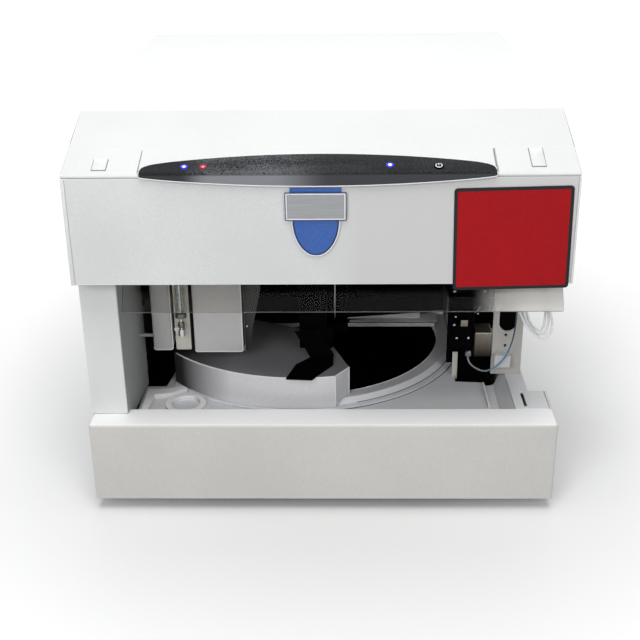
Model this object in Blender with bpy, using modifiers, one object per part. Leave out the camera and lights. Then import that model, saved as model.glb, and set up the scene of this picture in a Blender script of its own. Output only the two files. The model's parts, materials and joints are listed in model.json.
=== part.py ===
"""Bench-top autosampler for a chromatography system, as an assembly of separate pieces.

Metres, +Z up, +X to the right when the front is faced, +Y to the back.
The origin is on the bench, under the middle of the case.
"""
from math import atan2, cos, degrees, pi, radians, sin, sqrt, tan

import bmesh
import bpy
from mathutils import Matrix, Vector

# Driving dimensions of the case
case_width = 0.428
side_margin = 0.004
case_depth = 0.510
case_height = 0.360
foot_height = 0.012
ledge_z = 0.091
floor_drop = 0.011
fascia_height = 0.094
brow_drop = 0.037
brow_run = 0.090
sheet = 0.0025
moulding = 0.003
gap = 0.0003
overrun = 0.002
bar_proud = 0.003
rear_proud = 0.003

# Levels and faces that follow from them
half_width = case_width / 2
front_y = bar_proud - (case_depth + bar_proud + rear_proud) / 2
rear_y = front_y + case_depth
floor_z = ledge_z - floor_drop
fascia_high = case_height - brow_drop
fascia_low = fascia_high - fascia_height
brow_edge = 0.002
brow_edge_z = fascia_high + gap + brow_edge
roof_crown = 0.002
brow_slope = atan2(case_height - roof_crown - brow_edge_z, brow_run)

# Number of sides of round shapes, and how near two points are to be the same one
big_round = 72
middle_round = 32
small_round = 16
weld_distance = 0.00001


def back(distance):
    """World Y of a place that lies this far behind the front plane."""
    return front_y + distance


def from_left(inset):
    """World X of a place this far inside the left datum, a side margin in from the case's side."""
    return -half_width + side_margin + inset


def from_right(inset):
    """World X of a place this far inside the right datum, a side margin in from the case's side."""
    return half_width - side_margin - inset


def spread(shares, x, distance, width, depth):
    """Plan points from shares of a width and a depth, starting at X and a distance."""
    return [(x + across * width, back(distance + along * depth)) for across, along in shares]


def clear_scene():
    for obj in list(bpy.data.objects):
        bpy.data.objects.remove(obj, do_unlink=True)


clear_scene()
parts = bpy.data.collections.new("autosampler")
cutters = bpy.data.collections.new("cutters")
bpy.context.scene.collection.children.link(parts)
bpy.context.scene.collection.children.link(cutters)


def linear(channel):
    """One sRGB channel from 0 to 255, as a linear value."""
    value = channel / 255
    if value <= 0.04045:
        return value / 12.92
    return ((value + 0.055) / 1.055) ** 2.4


def finish(name, colour, roughness, metallic=0.0, alpha=1.0):
    """A Principled material; colour is an sRGB hex value."""
    material = bpy.data.materials.new(name)
    material.use_nodes = True
    shader = material.node_tree.nodes["Principled BSDF"]
    channels = [linear((colour >> shift) & 255) for shift in (16, 8, 0)]
    shader.inputs["Base Color"].default_value = (*channels, 1)
    shader.inputs["Roughness"].default_value = roughness
    shader.inputs["Metallic"].default_value = metallic
    shader.inputs["Alpha"].default_value = alpha
    material.diffuse_color = (*channels, alpha)
    return material


case_grey = finish("case_grey", 0xD6D9D9, 0.5)
inner_grey = finish("inner_grey", 0xA9ABAD, 0.55)
black_plastic = finish("black_plastic", 0x141517, 0.5)
gloss_black = finish("gloss_black", 0x26282B, 0.15)
sheet_metal = finish("sheet_metal", 0xB9BBBC, 0.4, 0.8)
steel = finish("steel", 0xC9CBCC, 0.25, 1.0)
rubber_black = finish("rubber_black", 0x1A1A1A, 0.8)
badge_blue = finish("badge_blue", 0x2F5CB8, 0.3)
badge_silver = finish("badge_silver", 0xA8ABAE, 0.35, 0.9)
card_red = finish("card_red", 0xBE141E, 0.5)
smoked = finish("smoked", 0x3A3D42, 0.1, 0.0, 0.45)
lamp_blue = finish("lamp_blue", 0x2A4BFF, 0.2)
lamp_red = finish("lamp_red", 0xE0203A, 0.2)
lamp_off = finish("lamp_off", 0x303338, 0.2)
clear_glass = finish("clear_glass", 0xDDE6E8, 0.05, 0.0, 0.4)
tube_white = finish("tube_white", 0xE8ECEC, 0.3)
tube_teal = finish("tube_teal", 0x1F6F86, 0.3)
white_plastic = finish("white_plastic", 0xE4E4E2, 0.5)


def add_object(name, mesh, material):
    mesh.materials.clear()
    mesh.materials.append(material)
    obj = bpy.data.objects.new(name, mesh)
    parts.objects.link(obj)
    return obj


def from_bmesh(name, shape, material):
    mesh = bpy.data.meshes.new(name)
    shape.to_mesh(mesh)
    shape.free()
    return add_object(name, mesh, material)


def block(name, low, high, material, open_sides=""):
    """A box between two corners; sides named as -x +x -y +y -z +z can be left off."""
    shape = bmesh.new()
    middle = [(a + b) / 2 for a, b in zip(low, high)]
    size = [b - a for a, b in zip(low, high)]
    place = Matrix.Translation(middle) @ Matrix.Diagonal((*size, 1))
    bmesh.ops.create_cube(shape, size=1, matrix=place)
    shape.normal_update()
    sides = {"-x": (-1, 0, 0), "+x": (1, 0, 0), "-y": (0, -1, 0),
             "+y": (0, 1, 0), "-z": (0, 0, -1), "+z": (0, 0, 1)}
    left_off = []
    for side in open_sides.split():
        outward = Vector(sides[side])
        left_off += [face for face in shape.faces if face.normal.dot(outward) > 1 / 2]
    bmesh.ops.delete(shape, geom=left_off, context="FACES")
    return from_bmesh(name, shape, material)


def turned_along(axis):
    """Rotation that lays the local Z axis along X, Y or Z."""
    if axis == "X":
        return Matrix.Rotation(pi / 2, 4, "Y")
    if axis == "Y":
        return Matrix.Rotation(-pi / 2, 4, "X")
    return Matrix.Identity(4)


def cylinder(name, start, axis, radius, length, material, sides=small_round):
    """A round bar from start, along +X, +Y or +Z."""
    shape = bmesh.new()
    place = Matrix.Translation(start) @ turned_along(axis)
    place = place @ Matrix.Translation((0, 0, length / 2))
    bmesh.ops.create_cone(shape, cap_ends=True, segments=sides, radius1=radius,
                          radius2=radius, depth=length, matrix=place)
    obj = from_bmesh(name, shape, material)
    obj.data.shade_smooth()
    obj.data.set_sharp_from_angle(angle=radians(40))
    return obj


def turned(name, profile, centre, material, sides=big_round, closed=True, axis="Z"):
    """A turned piece: the profile is (radius, height) points down its outer side."""
    shape = bmesh.new()
    points = [shape.verts.new((radius, 0, height)) for radius, height in profile]
    for first, second in zip(points, points[1:]):
        shape.edges.new((first, second))
    if closed:
        shape.edges.new((points[-1], points[0]))
    obj = from_bmesh(name, shape, material)
    obj.location = centre
    obj.rotation_euler = turned_along(axis).to_euler()
    screw = obj.modifiers.new("turn", "SCREW")
    screw.axis = "Z"
    screw.steps = sides
    screw.render_steps = sides
    screw.use_merge_vertices = True
    screw.merge_threshold = weld_distance
    screw.use_smooth_shade = True
    return obj


planes = {
    "XY": Matrix.Identity(4),
    "XZ": Matrix(((1, 0, 0, 0), (0, 0, -1, 0), (0, 1, 0, 0), (0, 0, 0, 1))),
    "YZ": Matrix(((0, 0, 1, 0), (1, 0, 0, 0), (0, 1, 0, 0), (0, 0, 0, 1))),
}


def outlined(name, points, plane, low, high, material):
    """A flat outline in the XY, XZ or YZ plane, extruded from low to high."""
    curve = bpy.data.curves.new(name, "CURVE")
    curve.dimensions = "2D"
    curve.fill_mode = "BOTH"
    curve.extrude = (high - low) / 2
    spline = curve.splines.new("POLY")
    spline.points.add(len(points) - 1)
    for target, (first, second) in zip(spline.points, points):
        target.co = (first, second, 0, 1)
    spline.use_cyclic_u = True
    guide = bpy.data.objects.new(name + "_outline", curve)
    parts.objects.link(guide)
    middle = (low + high) / 2
    if plane == "XZ":
        middle = -middle
    guide.matrix_world = planes[plane] @ Matrix.Translation((0, 0, middle))
    bpy.context.view_layer.update()
    reader = guide.evaluated_get(bpy.context.evaluated_depsgraph_get())
    mesh = bpy.data.meshes.new_from_object(reader)
    mesh.transform(guide.matrix_world)
    bpy.data.objects.remove(guide, do_unlink=True)
    shape = bmesh.new()
    shape.from_mesh(mesh)
    bmesh.ops.remove_doubles(shape, verts=shape.verts, dist=weld_distance)
    bmesh.ops.recalc_face_normals(shape, faces=shape.faces)
    shape.to_mesh(mesh)
    shape.free()
    return add_object(name, mesh, material)


def wall(obj, thickness):
    """Gives an open surface its thickness, inwards."""
    solid = obj.modifiers.new("wall", "SOLIDIFY")
    solid.thickness = thickness
    solid.offset = -1
    solid.use_even_offset = True
    return obj


def rounded(obj, width, segments=2):
    edge = obj.modifiers.new("round", "BEVEL")
    edge.width = width
    edge.segments = segments
    edge.limit_method = "ANGLE"
    edge.angle_limit = radians(40)
    return obj


def combine(obj, tools, operation):
    """Cuts, joins or keeps the common space; the tools become hidden guides."""
    for tool in tools:
        for collection in list(tool.users_collection):
            collection.objects.unlink(tool)
        cutters.objects.link(tool)
        tool.display_type = "WIRE"
        tool.hide_render = True
        step = obj.modifiers.new(operation.lower(), "BOOLEAN")
        step.operation = operation
        step.solver = "EXACT"
        step.object = tool
    return obj


def cut(obj, *tools):
    return combine(obj, tools, "DIFFERENCE")


def joined(obj, *tools):
    return combine(obj, tools, "UNION")


def carry(pivot_name, place, children):
    """Parents the pieces of one moving body to an empty on its axis."""
    pivot = bpy.data.objects.new(pivot_name, None)
    parts.objects.link(pivot)
    pivot.location = place
    bpy.context.view_layer.update()
    for child in children:
        child.parent = pivot
        child.matrix_parent_inverse = pivot.matrix_world.inverted()
    return pivot


def arc(centre, radius, start, end, count):
    """Points on an arc, from a start angle to an end angle in degrees."""
    steps = [start + (end - start) * i / (count - 1) for i in range(count)]
    return [(centre[0] + radius * cos(radians(a)), centre[1] + radius * sin(radians(a)))
            for a in steps]


def smooth_route(points, spacing):
    """Evenly spaced points on a Catmull-Rom curve through the route's own points."""
    route = [Vector(p) for p in points]
    padded = [2 * route[0] - route[1]] + route + [2 * route[-1] - route[-2]]
    fine = []
    divisions = 20
    for a, b, c, d in zip(padded, padded[1:], padded[2:], padded[3:]):
        for i in range(divisions):
            t = i / divisions
            fine.append((2 * b + (c - a) * t + (2 * a - 5 * b + 4 * c - d) * t * t
                         + (3 * b - a - 3 * c + d) * t * t * t) / 2)
    fine.append(route[-1])
    lengths = [0.0]
    for a, b in zip(fine, fine[1:]):
        lengths.append(lengths[-1] + (b - a).length)
    count = max(3, round(lengths[-1] / spacing))
    even = []
    k = 0
    for i in range(count + 1):
        target = lengths[-1] * i / count
        while k < len(fine) - 2 and lengths[k + 1] < target:
            k += 1
        share = (target - lengths[k]) / (lengths[k + 1] - lengths[k])
        even.append(fine[k].lerp(fine[k + 1], min(1.0, share)))
    return even


def tube(name, points, radius, material):
    """A tube along a smooth route, with closed ends."""
    curve = bpy.data.curves.new(name, "CURVE")
    curve.dimensions = "3D"
    curve.bevel_depth = radius
    curve.bevel_resolution = 2
    curve.use_fill_caps = True
    spacing_in_diameters = 2.5
    route = smooth_route(points, spacing_in_diameters * 2 * radius)
    spline = curve.splines.new("POLY")
    spline.points.add(len(route) - 1)
    for target, point in zip(spline.points, route):
        target.co = (*point, 1)
    curve.materials.append(material)
    obj = bpy.data.objects.new(name, curve)
    parts.objects.link(obj)
    return obj


# Feet: rubber, one under each corner of the base pan
foot_radius = 0.014
foot_taper = 0.002
foot_inset_x = 0.034
foot_inset_y = 0.040
for side_name, side_x in (("left", from_left(foot_inset_x)), ("right", from_right(foot_inset_x))):
    for end_name, end_y in (("front", back(foot_inset_y)), ("rear", rear_y - foot_inset_y)):
        foot_profile = [(0, foot_height - gap), (foot_radius, foot_height - gap),
                        (foot_radius - foot_taper, 0), (0, 0)]
        turned("foot_" + end_name + "_" + side_name, foot_profile, (side_x, end_y, 0),
               rubber_black, 24, closed=False)

# Base pan: folded sheet steel that everything stands on
pan_thickness = 0.0015
pan_flange = 0.015
pan_half_width = half_width - moulding - gap
ledge_depth = 0.0305
pan_top = foot_height + pan_thickness
base_pan = block("base_pan", (-pan_half_width, back(ledge_depth + gap), foot_height),
                 (pan_half_width, rear_y - sheet - gap, foot_height + pan_flange), sheet_metal, "+z")
wall(base_pan, pan_thickness)

# Lower front panel: a moulding with the ledge on top, open to the back
panel_round = 0.003
lower_front_panel = block("lower_front_panel", (-half_width, back(0), foot_height),
                          (half_width, back(ledge_depth), ledge_z), case_grey, "+y -z")
rounded(lower_front_panel, panel_round)
wall(lower_front_panel, moulding)

# Top cover: sloped brow, flat roof and a skirt all round
skirt = 0.014
brow_top_z = case_height - roof_crown
crown_run = 0.010
cover_wall = 0.003


def brow_line(distance):
    """Height of the brow's outer surface at a distance behind the front plane."""
    return brow_edge_z + distance * tan(brow_slope)


skirt_z = case_height - skirt
skirt_meet = brow_run - (skirt_z - fascia_high - gap) / tan(brow_slope)
top_outline = [(back(0), fascia_high + gap), (back(0), brow_edge_z),
               (back(brow_run), brow_top_z), (back(brow_run + crown_run), case_height),
               (rear_y, case_height), (rear_y, skirt_z), (back(brow_run), skirt_z),
               (back(skirt_meet), fascia_high + gap)]
top_cover = outlined("top_cover", top_outline, "YZ", -half_width, half_width, case_grey)
roof_drop = cover_wall / cos(brow_slope)
inner_outline = [(back(moulding), fascia_low), (back(moulding), brow_line(moulding) - roof_drop),
                 (back(brow_run), brow_top_z - roof_drop),
                 (back(brow_run + crown_run), case_height - cover_wall),
                 (rear_y - cover_wall, case_height - cover_wall), (rear_y - cover_wall, fascia_low)]
cut(top_cover, outlined("top_cover_inside", inner_outline, "YZ", -half_width + cover_wall,
                        half_width - cover_wall, case_grey))

ear_rise = 0.0012
ear_run = 0.034
ear_inset = 0.0006
ear_left = 0.0600
ear_right = 0.0635
ear_outline = [(back(ear_inset), brow_line(0) - roof_drop / 2), (back(ear_inset), brow_line(0)),
               (back(ear_inset + ear_rise), brow_line(ear_rise) + ear_rise),
               (back(ear_run), brow_line(ear_run) + ear_rise),
               (back(ear_run + ear_rise), brow_line(ear_run)),
               (back(ear_run + ear_rise), brow_line(ear_run) - roof_drop / 2)]
joined(top_cover,
       outlined("ear_left", ear_outline, "YZ", -half_width + ear_inset, from_left(ear_left),
                case_grey),
       outlined("ear_right", ear_outline, "YZ", from_right(ear_right), half_width - ear_inset,
                case_grey))

# Side panels: sheet steel, the right one cut away where the tubing comes out
post_front = 0.021
post_depth = 0.0298
panel_front = ledge_depth + gap
notch_front = 0.0669
notch_back = 0.205
notch_low = 0.030
notch_high = fascia_low
notch_chamfer_run = 0.045
notch_chamfer_drop = 0.094
panel_rear = case_depth - sheet - gap


def skirt_line(distance):
    """Height of the top cover's skirt edge above the brow, less the gap."""
    return skirt_z - gap - max(0.0, brow_run - distance) * tan(brow_slope)


left_front = post_front + post_depth + gap
left_panel = [(back(panel_front), foot_height), (back(panel_rear), foot_height),
                (back(panel_rear), skirt_z - gap), (back(brow_run), skirt_z - gap),
                (back(panel_front), skirt_line(panel_front)),
                (back(panel_front), fascia_low), (back(left_front), fascia_low),
                (back(left_front), ledge_z), (back(panel_front), ledge_z)]
outlined("left_side_panel", left_panel, "YZ", -half_width, -half_width + sheet, case_grey)
right_panel = [(back(panel_front), foot_height), (back(panel_rear), foot_height),
               (back(panel_rear), skirt_z - gap), (back(brow_run), skirt_z - gap),
               (back(panel_front), skirt_line(panel_front)), (back(panel_front), notch_high),
               (back(notch_back - notch_chamfer_run), notch_high),
               (back(notch_back), notch_high - notch_chamfer_drop),
               (back(notch_back), notch_low), (back(notch_front), notch_low),
               (back(notch_front), ledge_z), (back(panel_front), ledge_z)]
outlined("right_side_panel", right_panel, "YZ", half_width - sheet, half_width, case_grey)

# Rear panel: sheet steel with a punched fan guard and the mains inlet's hole
fan_inset = 0.110
fan_drop = 0.120
fan_x = from_right(fan_inset)
fan_z = case_height - fan_drop
fan_radius = 0.036
guard_rib = 0.0016
guard_rings = 3
inlet_inset = 0.080
inlet_x = from_left(inlet_inset)
inlet_z = 0.086
inlet_hole_width = 0.029
inlet_hole_height = 0.056
rear_panel = block("rear_panel", (-half_width, rear_y - sheet, foot_height),
                   (half_width, rear_y, skirt_z - gap), case_grey)
for ring in range(guard_rings):
    outer = fan_radius * (ring + 1) / guard_rings - guard_rib / 2
    inner = fan_radius * ring / guard_rings + guard_rib / 2
    for quarter in range(4):
        first = quarter * 90 + degrees(guard_rib / outer)
        last = (quarter + 1) * 90 - degrees(guard_rib / outer)
        outline = arc((fan_x, fan_z), outer, first, last, 9)
        inner_first = quarter * 90 + degrees(guard_rib / inner) if ring else quarter * 90 + 45
        inner_last = (quarter + 1) * 90 - degrees(guard_rib / inner) if ring else inner_first
        if ring:
            outline += arc((fan_x, fan_z), inner, inner_last, inner_first, 7)
        else:
            outline += [(fan_x + 2 * guard_rib * cos(radians(inner_first)),
                         fan_z + 2 * guard_rib * sin(radians(inner_first)))]
        cut(rear_panel, outlined("guard_slot_%d_%d" % (ring, quarter), outline, "XZ",
                                 rear_y - sheet - overrun, rear_y + overrun, case_grey))
inlet_low = (inlet_x - inlet_hole_width / 2, inlet_z - inlet_hole_height / 2)
inlet_high = (inlet_x + inlet_hole_width / 2, inlet_z + inlet_hole_height / 2)
cut(rear_panel, block("inlet_hole", (inlet_low[0], rear_y - sheet - overrun, inlet_low[1]),
                      (inlet_high[0], rear_y + overrun, inlet_high[1]), case_grey))

# Upper fascia: the moulded front above the opening, with returned ends
return_depth = 0.030
upper_fascia = block("upper_fascia", (-half_width, back(0), fascia_low),
                     (half_width, back(return_depth), fascia_high), case_grey, "+y -z +z")
rounded(upper_fascia, panel_round)
wall(upper_fascia, moulding)

# Status bar: a lens-shaped black moulding wrapped over the front edge
bar_left_inset = 0.062
bar_right_inset = 0.0655
bar_left = from_left(bar_left_inset)
bar_right = from_right(bar_right_inset)
bar_length = bar_right - bar_left
bar_middle = (bar_left + bar_right) / 2
bar_drop = 0.0085
bar_drop_end = 0.0012
bar_rise = 0.0255
bar_rise_end = 0.0105
bar_end_share = 0.35
bar_end_power = 24
bar_columns = 32
front_rows = 2
corner_rows = 3
slope_rows = 3
bar_wall = bar_proud - gap


def bar_point(across, row_kind, share):
    """A point of the bar's outer face; across runs from -1 to 1 along it."""
    bulge = 1 - across * across
    narrowing = sqrt(max(0.0, 1 - abs(across) ** bar_end_power))
    narrowing = bar_end_share + (1 - bar_end_share) * narrowing
    x = bar_middle + across * bar_length / 2
    turn = pi / 2 - brow_slope
    if row_kind == "front":
        low = (bar_drop_end + (bar_drop - bar_drop_end) * bulge) * narrowing
        return (x, back(-bar_proud), brow_edge_z - low * (1 - share))
    if row_kind == "corner":
        lean = turn * share
        return (x, back(-bar_proud * cos(lean)), brow_edge_z + bar_proud * sin(lean))
    rise = (bar_rise_end + (bar_rise - bar_rise_end) * bulge) * narrowing * share
    return (x, back(rise * cos(brow_slope) - bar_proud * cos(turn)),
            brow_edge_z + rise * sin(brow_slope) + bar_proud * sin(turn))


bar_rows = [("front", i / front_rows) for i in range(front_rows)]
bar_rows += [("corner", i / corner_rows) for i in range(corner_rows)]
bar_rows += [("slope", i / slope_rows) for i in range(slope_rows + 1)]
bar_sheet = bmesh.new()
bmesh.ops.create_grid(bar_sheet, x_segments=bar_columns, y_segments=len(bar_rows) - 1, size=1)
for vertex in bar_sheet.verts:
    row = round((vertex.co.y + 1) / 2 * (len(bar_rows) - 1))
    vertex.co = bar_point(sin(vertex.co.x * pi / 2), *bar_rows[row])
status_bar = wall(from_bmesh("status_bar", bar_sheet, gloss_black), bar_wall)

# Lamps and the power button stand on the brow and come through the bar
lamp_radius = 0.0015
lamp_proud = 0.0004
button_radius = 0.0040
button_proud = 0.0006
button_travel = 0.0008
brow_normal = Vector((0, -sin(brow_slope), cos(brow_slope)))
lamp_link_inset = 0.0365
lamp_link_back = 0.0075
lamp_alarm_inset = 0.0522
lamp_alarm_back = 0.0073
lamp_motion_inset = 0.0826
lamp_motion_back = 0.0084
lamp_temperature_inset = 0.0866
lamp_temperature_back = 0.0085
button_inset = 0.0467
button_back = 0.0068
lamp_places = {
    "lamp_link": (bar_left + lamp_link_inset, lamp_link_back, lamp_blue),
    "lamp_alarm": (bar_left + lamp_alarm_inset, lamp_alarm_back, lamp_red),
    "lamp_motion": (bar_left + lamp_motion_inset, lamp_motion_back, lamp_off),
    "lamp_temperature": (bar_right - lamp_temperature_inset, lamp_temperature_back, lamp_blue)}
button_x = bar_right - button_inset


def on_brow(x, distance, height):
    """A place above the brow's surface, measured square to it."""
    return Vector((x, back(distance), brow_line(distance))) + brow_normal * height


def brow_stud(name, x, distance, radius, low, high, material, sides):
    """A round pin that stands square to the brow, with its origin on its own axis."""
    shape = bmesh.new()
    bmesh.ops.create_cone(shape, cap_ends=True, segments=sides, radius1=radius,
                          radius2=radius, depth=high - low)
    obj = from_bmesh(name, shape, material)
    obj.location = on_brow(x, distance, (low + high) / 2)
    obj.rotation_euler = (brow_slope, 0, 0)
    obj.data.shade_smooth()
    obj.data.set_sharp_from_angle(angle=radians(40))
    return obj


for lamp_name, (lamp_x, lamp_back, lamp_finish) in lamp_places.items():
    brow_stud(lamp_name, lamp_x, lamp_back, lamp_radius, gap, bar_proud + lamp_proud,
              lamp_finish, 12)
    cut(status_bar, brow_stud(lamp_name + "_hole", lamp_x, lamp_back, lamp_radius + gap,
                              -overrun, bar_proud + overrun, lamp_finish, 12))
brow_stud("power_button", button_x, button_back, button_radius, gap + button_travel + gap,
          bar_proud + button_proud, white_plastic, 20)
cut(status_bar, brow_stud("power_button_hole", button_x, button_back, button_radius + gap,
                          -overrun, bar_proud + overrun, white_plastic, 20))

# Badge: a blue tongue with a bare brushed plate across it
badge_x = -0.0034
tongue_width = 0.0427
tongue_top_drop = 0.0083
tongue_shoulder_drop = 0.036
tongue_tip_drop = 0.0678
tongue_top_z = fascia_high - tongue_top_drop
tongue_shoulder_z = fascia_high - tongue_shoulder_drop
tongue_tip_z = fascia_high - tongue_tip_drop
tongue_thickness = 0.0010
plate_width = 0.051
plate_height = 0.0242
plate_low_z = tongue_shoulder_z
plate_high_z = plate_low_z + plate_height
plate_thickness = 0.0012
shoulder_share = 0.9
tongue_points = 8
tongue_outline = [(badge_x - tongue_width / 2, tongue_shoulder_z),
                  (badge_x - tongue_width / 2, tongue_top_z),
                  (badge_x + tongue_width / 2, tongue_top_z),
                  (badge_x + tongue_width / 2, tongue_shoulder_z)]
for i in range(2 * tongue_points + 1):
    lean = pi * i / (2 * tongue_points)
    tongue_outline.append((badge_x + shoulder_share * tongue_width / 2 * cos(lean),
                           tongue_shoulder_z - (tongue_shoulder_z - tongue_tip_z) * sin(lean)))
tongue_front = -gap - tongue_thickness
outlined("badge_tongue", tongue_outline, "XZ", back(tongue_front), back(-gap), badge_blue)
plate_back = tongue_front - gap
block("badge_plate", (badge_x - plate_width / 2, back(plate_back - plate_thickness), plate_low_z),
      (badge_x + plate_width / 2, back(plate_back), plate_high_z), badge_silver)

# Notice card: a bare red card with a black border, stuck on at the right
card_width = 0.0997
card_height = 0.088
card_right_inset = 0.0020
card_drop = 0.0105
card_top_z = fascia_high - card_drop
card_thickness = 0.0006
card_corner = 0.003
card_left = half_width - card_right_inset - card_width
card_right = half_width - card_right_inset
card_outline = []
for corner_x, corner_z, first in ((card_right - card_corner, card_top_z - card_corner, 0),
                                  (card_left + card_corner, card_top_z - card_corner, 90),
                                  (card_left + card_corner,
                                   card_top_z - card_height + card_corner, 180),
                                  (card_right - card_corner,
                                   card_top_z - card_height + card_corner, 270)):
    card_outline += arc((corner_x, corner_z), card_corner, first, first + 90, 4)
outlined("notice_card", card_outline, "XZ", back(-gap - card_thickness), back(-gap), card_red)

# Left post and the inner wall behind it
post_width = 0.033
wall_back = 0.104
wall_slant = 0.005
post_right = -half_width + post_width
left_post = block("left_post", (-half_width, back(post_front), ledge_z + gap),
                  (post_right, back(post_front + post_depth), fascia_low - gap), case_grey,
                  "+x +y -z +z")
wall(left_post, sheet)


def inner_wall_x(distance):
    """X of the inner wall's right face at a distance behind the front plane."""
    share = (distance - post_front) / (wall_back - post_front)
    return post_right + wall_slant * share


wall_front = post_front + sheet + gap
wall_outline = [(inner_wall_x(wall_front) - sheet, back(wall_front)),
                (inner_wall_x(wall_front), back(wall_front)),
                (inner_wall_x(wall_back), back(wall_back)),
                (inner_wall_x(wall_back) - sheet, back(wall_back))]
left_inner_wall = outlined("left_inner_wall", wall_outline, "XY", floor_z + gap,
                           fascia_high, case_grey)

# Syringe housings, their bracket and the locating pin between wall and housing
housing_front = 0.080
housing_low = 0.128
housing_right_low = 0.1257
housing_high = 0.250
housing_left_inset = 0.0464
housing_left_width = 0.0186
bracket_inset = 0.0680
bracket_width = 0.0154
bracket_set_back = 0.0015
housing_right_inset = 0.0860
housing_right_width = 0.0476
housing_left_x = from_left(housing_left_inset)
bracket_x = from_left(bracket_inset)
housing_right_x = from_left(housing_right_inset)
housing_round = 0.003
bulkhead_back = 0.300
bulkhead_thickness = 0.0015
housing_back = bulkhead_back - bulkhead_thickness - gap
pin_radius = 0.0016
pin_back = 0.086
pin_z = 0.142
left_pin = cylinder("wall_pin_shape", (inner_wall_x(pin_back) - sheet / 2, back(pin_back), pin_z),
                    "X", pin_radius, housing_left_x - gap - inner_wall_x(pin_back) + sheet / 2,
                    sheet_metal)
joined(left_inner_wall, left_pin)
cut(left_inner_wall, block("wall_notch", (post_right - 2 * sheet, back(post_front), floor_z),
                           (post_right + sheet, back(ledge_depth + gap), ledge_z + gap), case_grey))
for housing_name, low_x, width, low_z in (
        ("syringe_housing_left", housing_left_x, housing_left_width, housing_low),
        ("syringe_housing_right", housing_right_x, housing_right_width, housing_right_low)):
    housing = block(housing_name, (low_x, back(housing_front), low_z),
                    (low_x + width, back(housing_back), housing_high), inner_grey, "+y")
    rounded(housing, housing_round)
    wall(housing, sheet)
cheek_back = 0.095
cheek_thickness = 0.0015
cheek_low = 0.1215
cheek_high = 0.235
cheek_corner_z = 0.185
cheek_foot_reach = 0.0028
cheek_reach = 0.0165
housing_right_end = housing_right_x + housing_right_width
cheek_outline = [(housing_right_end - sheet / 2, cheek_low),
                 (housing_right_end + cheek_foot_reach, cheek_low),
                 (housing_right_end + cheek_reach, cheek_corner_z),
                 (housing_right_end + cheek_reach, cheek_high),
                 (housing_right_end - sheet / 2, cheek_high)]
joined(housing, outlined("housing_cheek", cheek_outline, "XZ", back(cheek_back),
                         back(cheek_back + cheek_thickness), inner_grey))
bracket_front = housing_front + bracket_set_back
syringe_bracket = block("syringe_bracket", (bracket_x, back(bracket_front), housing_low),
                        (bracket_x + bracket_width, back(housing_back), housing_high),
                        inner_grey, "+y")
rounded(syringe_bracket, housing_round / 2)
wall(syringe_bracket, sheet)

# Syringe: glass barrel hung under a clamp head on the bracket, with its plunger
barrel_radius = 0.0045
barrel_bore = 0.0033
barrel_low = 0.166
barrel_high = 0.226
plunger_radius = 0.0012
knob_radius = 0.0034
knob_low = 0.147
knob_height = 0.0065
piston_height = 0.010
piston_set_down = 0.011
syringe_x = bracket_x + bracket_width / 2
syringe_y = back(bracket_front - barrel_radius - gap - overrun)
head_height = 0.014
head_half_width = bracket_width / 2 - sheet / 2
turned("syringe_barrel", [(barrel_bore, barrel_high), (barrel_radius, barrel_high),
                          (barrel_radius, barrel_low), (barrel_bore, barrel_low)],
       (syringe_x, syringe_y, 0), clear_glass, small_round)
piston_top = barrel_high - piston_set_down
piston_radius = barrel_bore - gap
syringe_plunger = turned("syringe_plunger",
                         [(0, piston_top), (piston_radius, piston_top),
                          (piston_radius, piston_top - piston_height),
                          (plunger_radius, piston_top - piston_height),
                          (plunger_radius, knob_low + knob_height),
                          (knob_radius, knob_low + knob_height), (knob_radius, knob_low),
                          (0, knob_low)],
                         (syringe_x, syringe_y, 0), steel, small_round, closed=False)
joined(syringe_bracket, block("syringe_head",
                              (syringe_x - head_half_width, syringe_y - barrel_radius - overrun,
                               barrel_high + gap),
                              (syringe_x + head_half_width, back(bracket_front) + sheet / 2,
                               barrel_high + gap + head_height), inner_grey))

# Window: a smoked pane on two arms, swung up under the top cover
window_pivot_back = 0.200
window_pivot_drop = 0.039
window_pivot_z = fascia_low - window_pivot_drop
window_open_angle = radians(32.3)
pane_lift = 0.0045
pane_lap = 0.003
pane_low = ledge_z + pane_lift
pane_high = fascia_low + pane_lap
pane_back = 0.030
pane_thickness = 0.003
pane_left_inset = 0.0355
pane_right_inset = 0.0035
arm_thickness = 0.003
arm_half_height = 0.008
arm_inset = 0.0395
arm_offset = from_right(arm_inset)
stud_radius = 0.003
window_pivot = Vector((0, back(window_pivot_back), window_pivot_z))
swing_up = (Matrix.Translation(window_pivot) @ Matrix.Rotation(-window_open_angle, 4, "X")
            @ Matrix.Translation(-window_pivot))
window_pane = block("window_pane", (from_left(pane_left_inset), back(pane_back), pane_low),
                    (half_width - pane_right_inset, back(pane_back + pane_thickness), pane_high),
                    smoked)
window_pane.data.transform(swing_up)
window_arms = []
arm_start = pane_back + pane_thickness + gap
liner_thickness = 0.0015
liner_x = -half_width + sheet + gap
for arm_name, arm_side, stud_end in (("window_arm_left", -1, liner_x + liner_thickness + gap),
                                     ("window_arm_right", 1, half_width - sheet - gap)):
    inner_x = arm_side * arm_offset
    outer_x = arm_side * (arm_offset + arm_thickness)
    arm_outline = [(back(arm_start), window_pivot_z - arm_half_height)]
    arm_outline += arc((back(window_pivot_back), window_pivot_z), arm_half_height, -90, 90, 9)
    arm_outline += [(back(arm_start), window_pivot_z + arm_half_height)]
    window_arm = outlined(arm_name, arm_outline, "YZ", min(inner_x, outer_x),
                          max(inner_x, outer_x), black_plastic)
    stud_start = (inner_x + outer_x) / 2
    stud = cylinder(arm_name + "_stud",
                    (min(stud_start, stud_end), back(window_pivot_back), window_pivot_z), "X",
                    stud_radius, abs(stud_end - stud_start), steel)
    joined(window_arm, stud)
    window_arm.data.transform(swing_up)
    stud.data.transform(swing_up)
    window_arms.append(window_arm)
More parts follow.
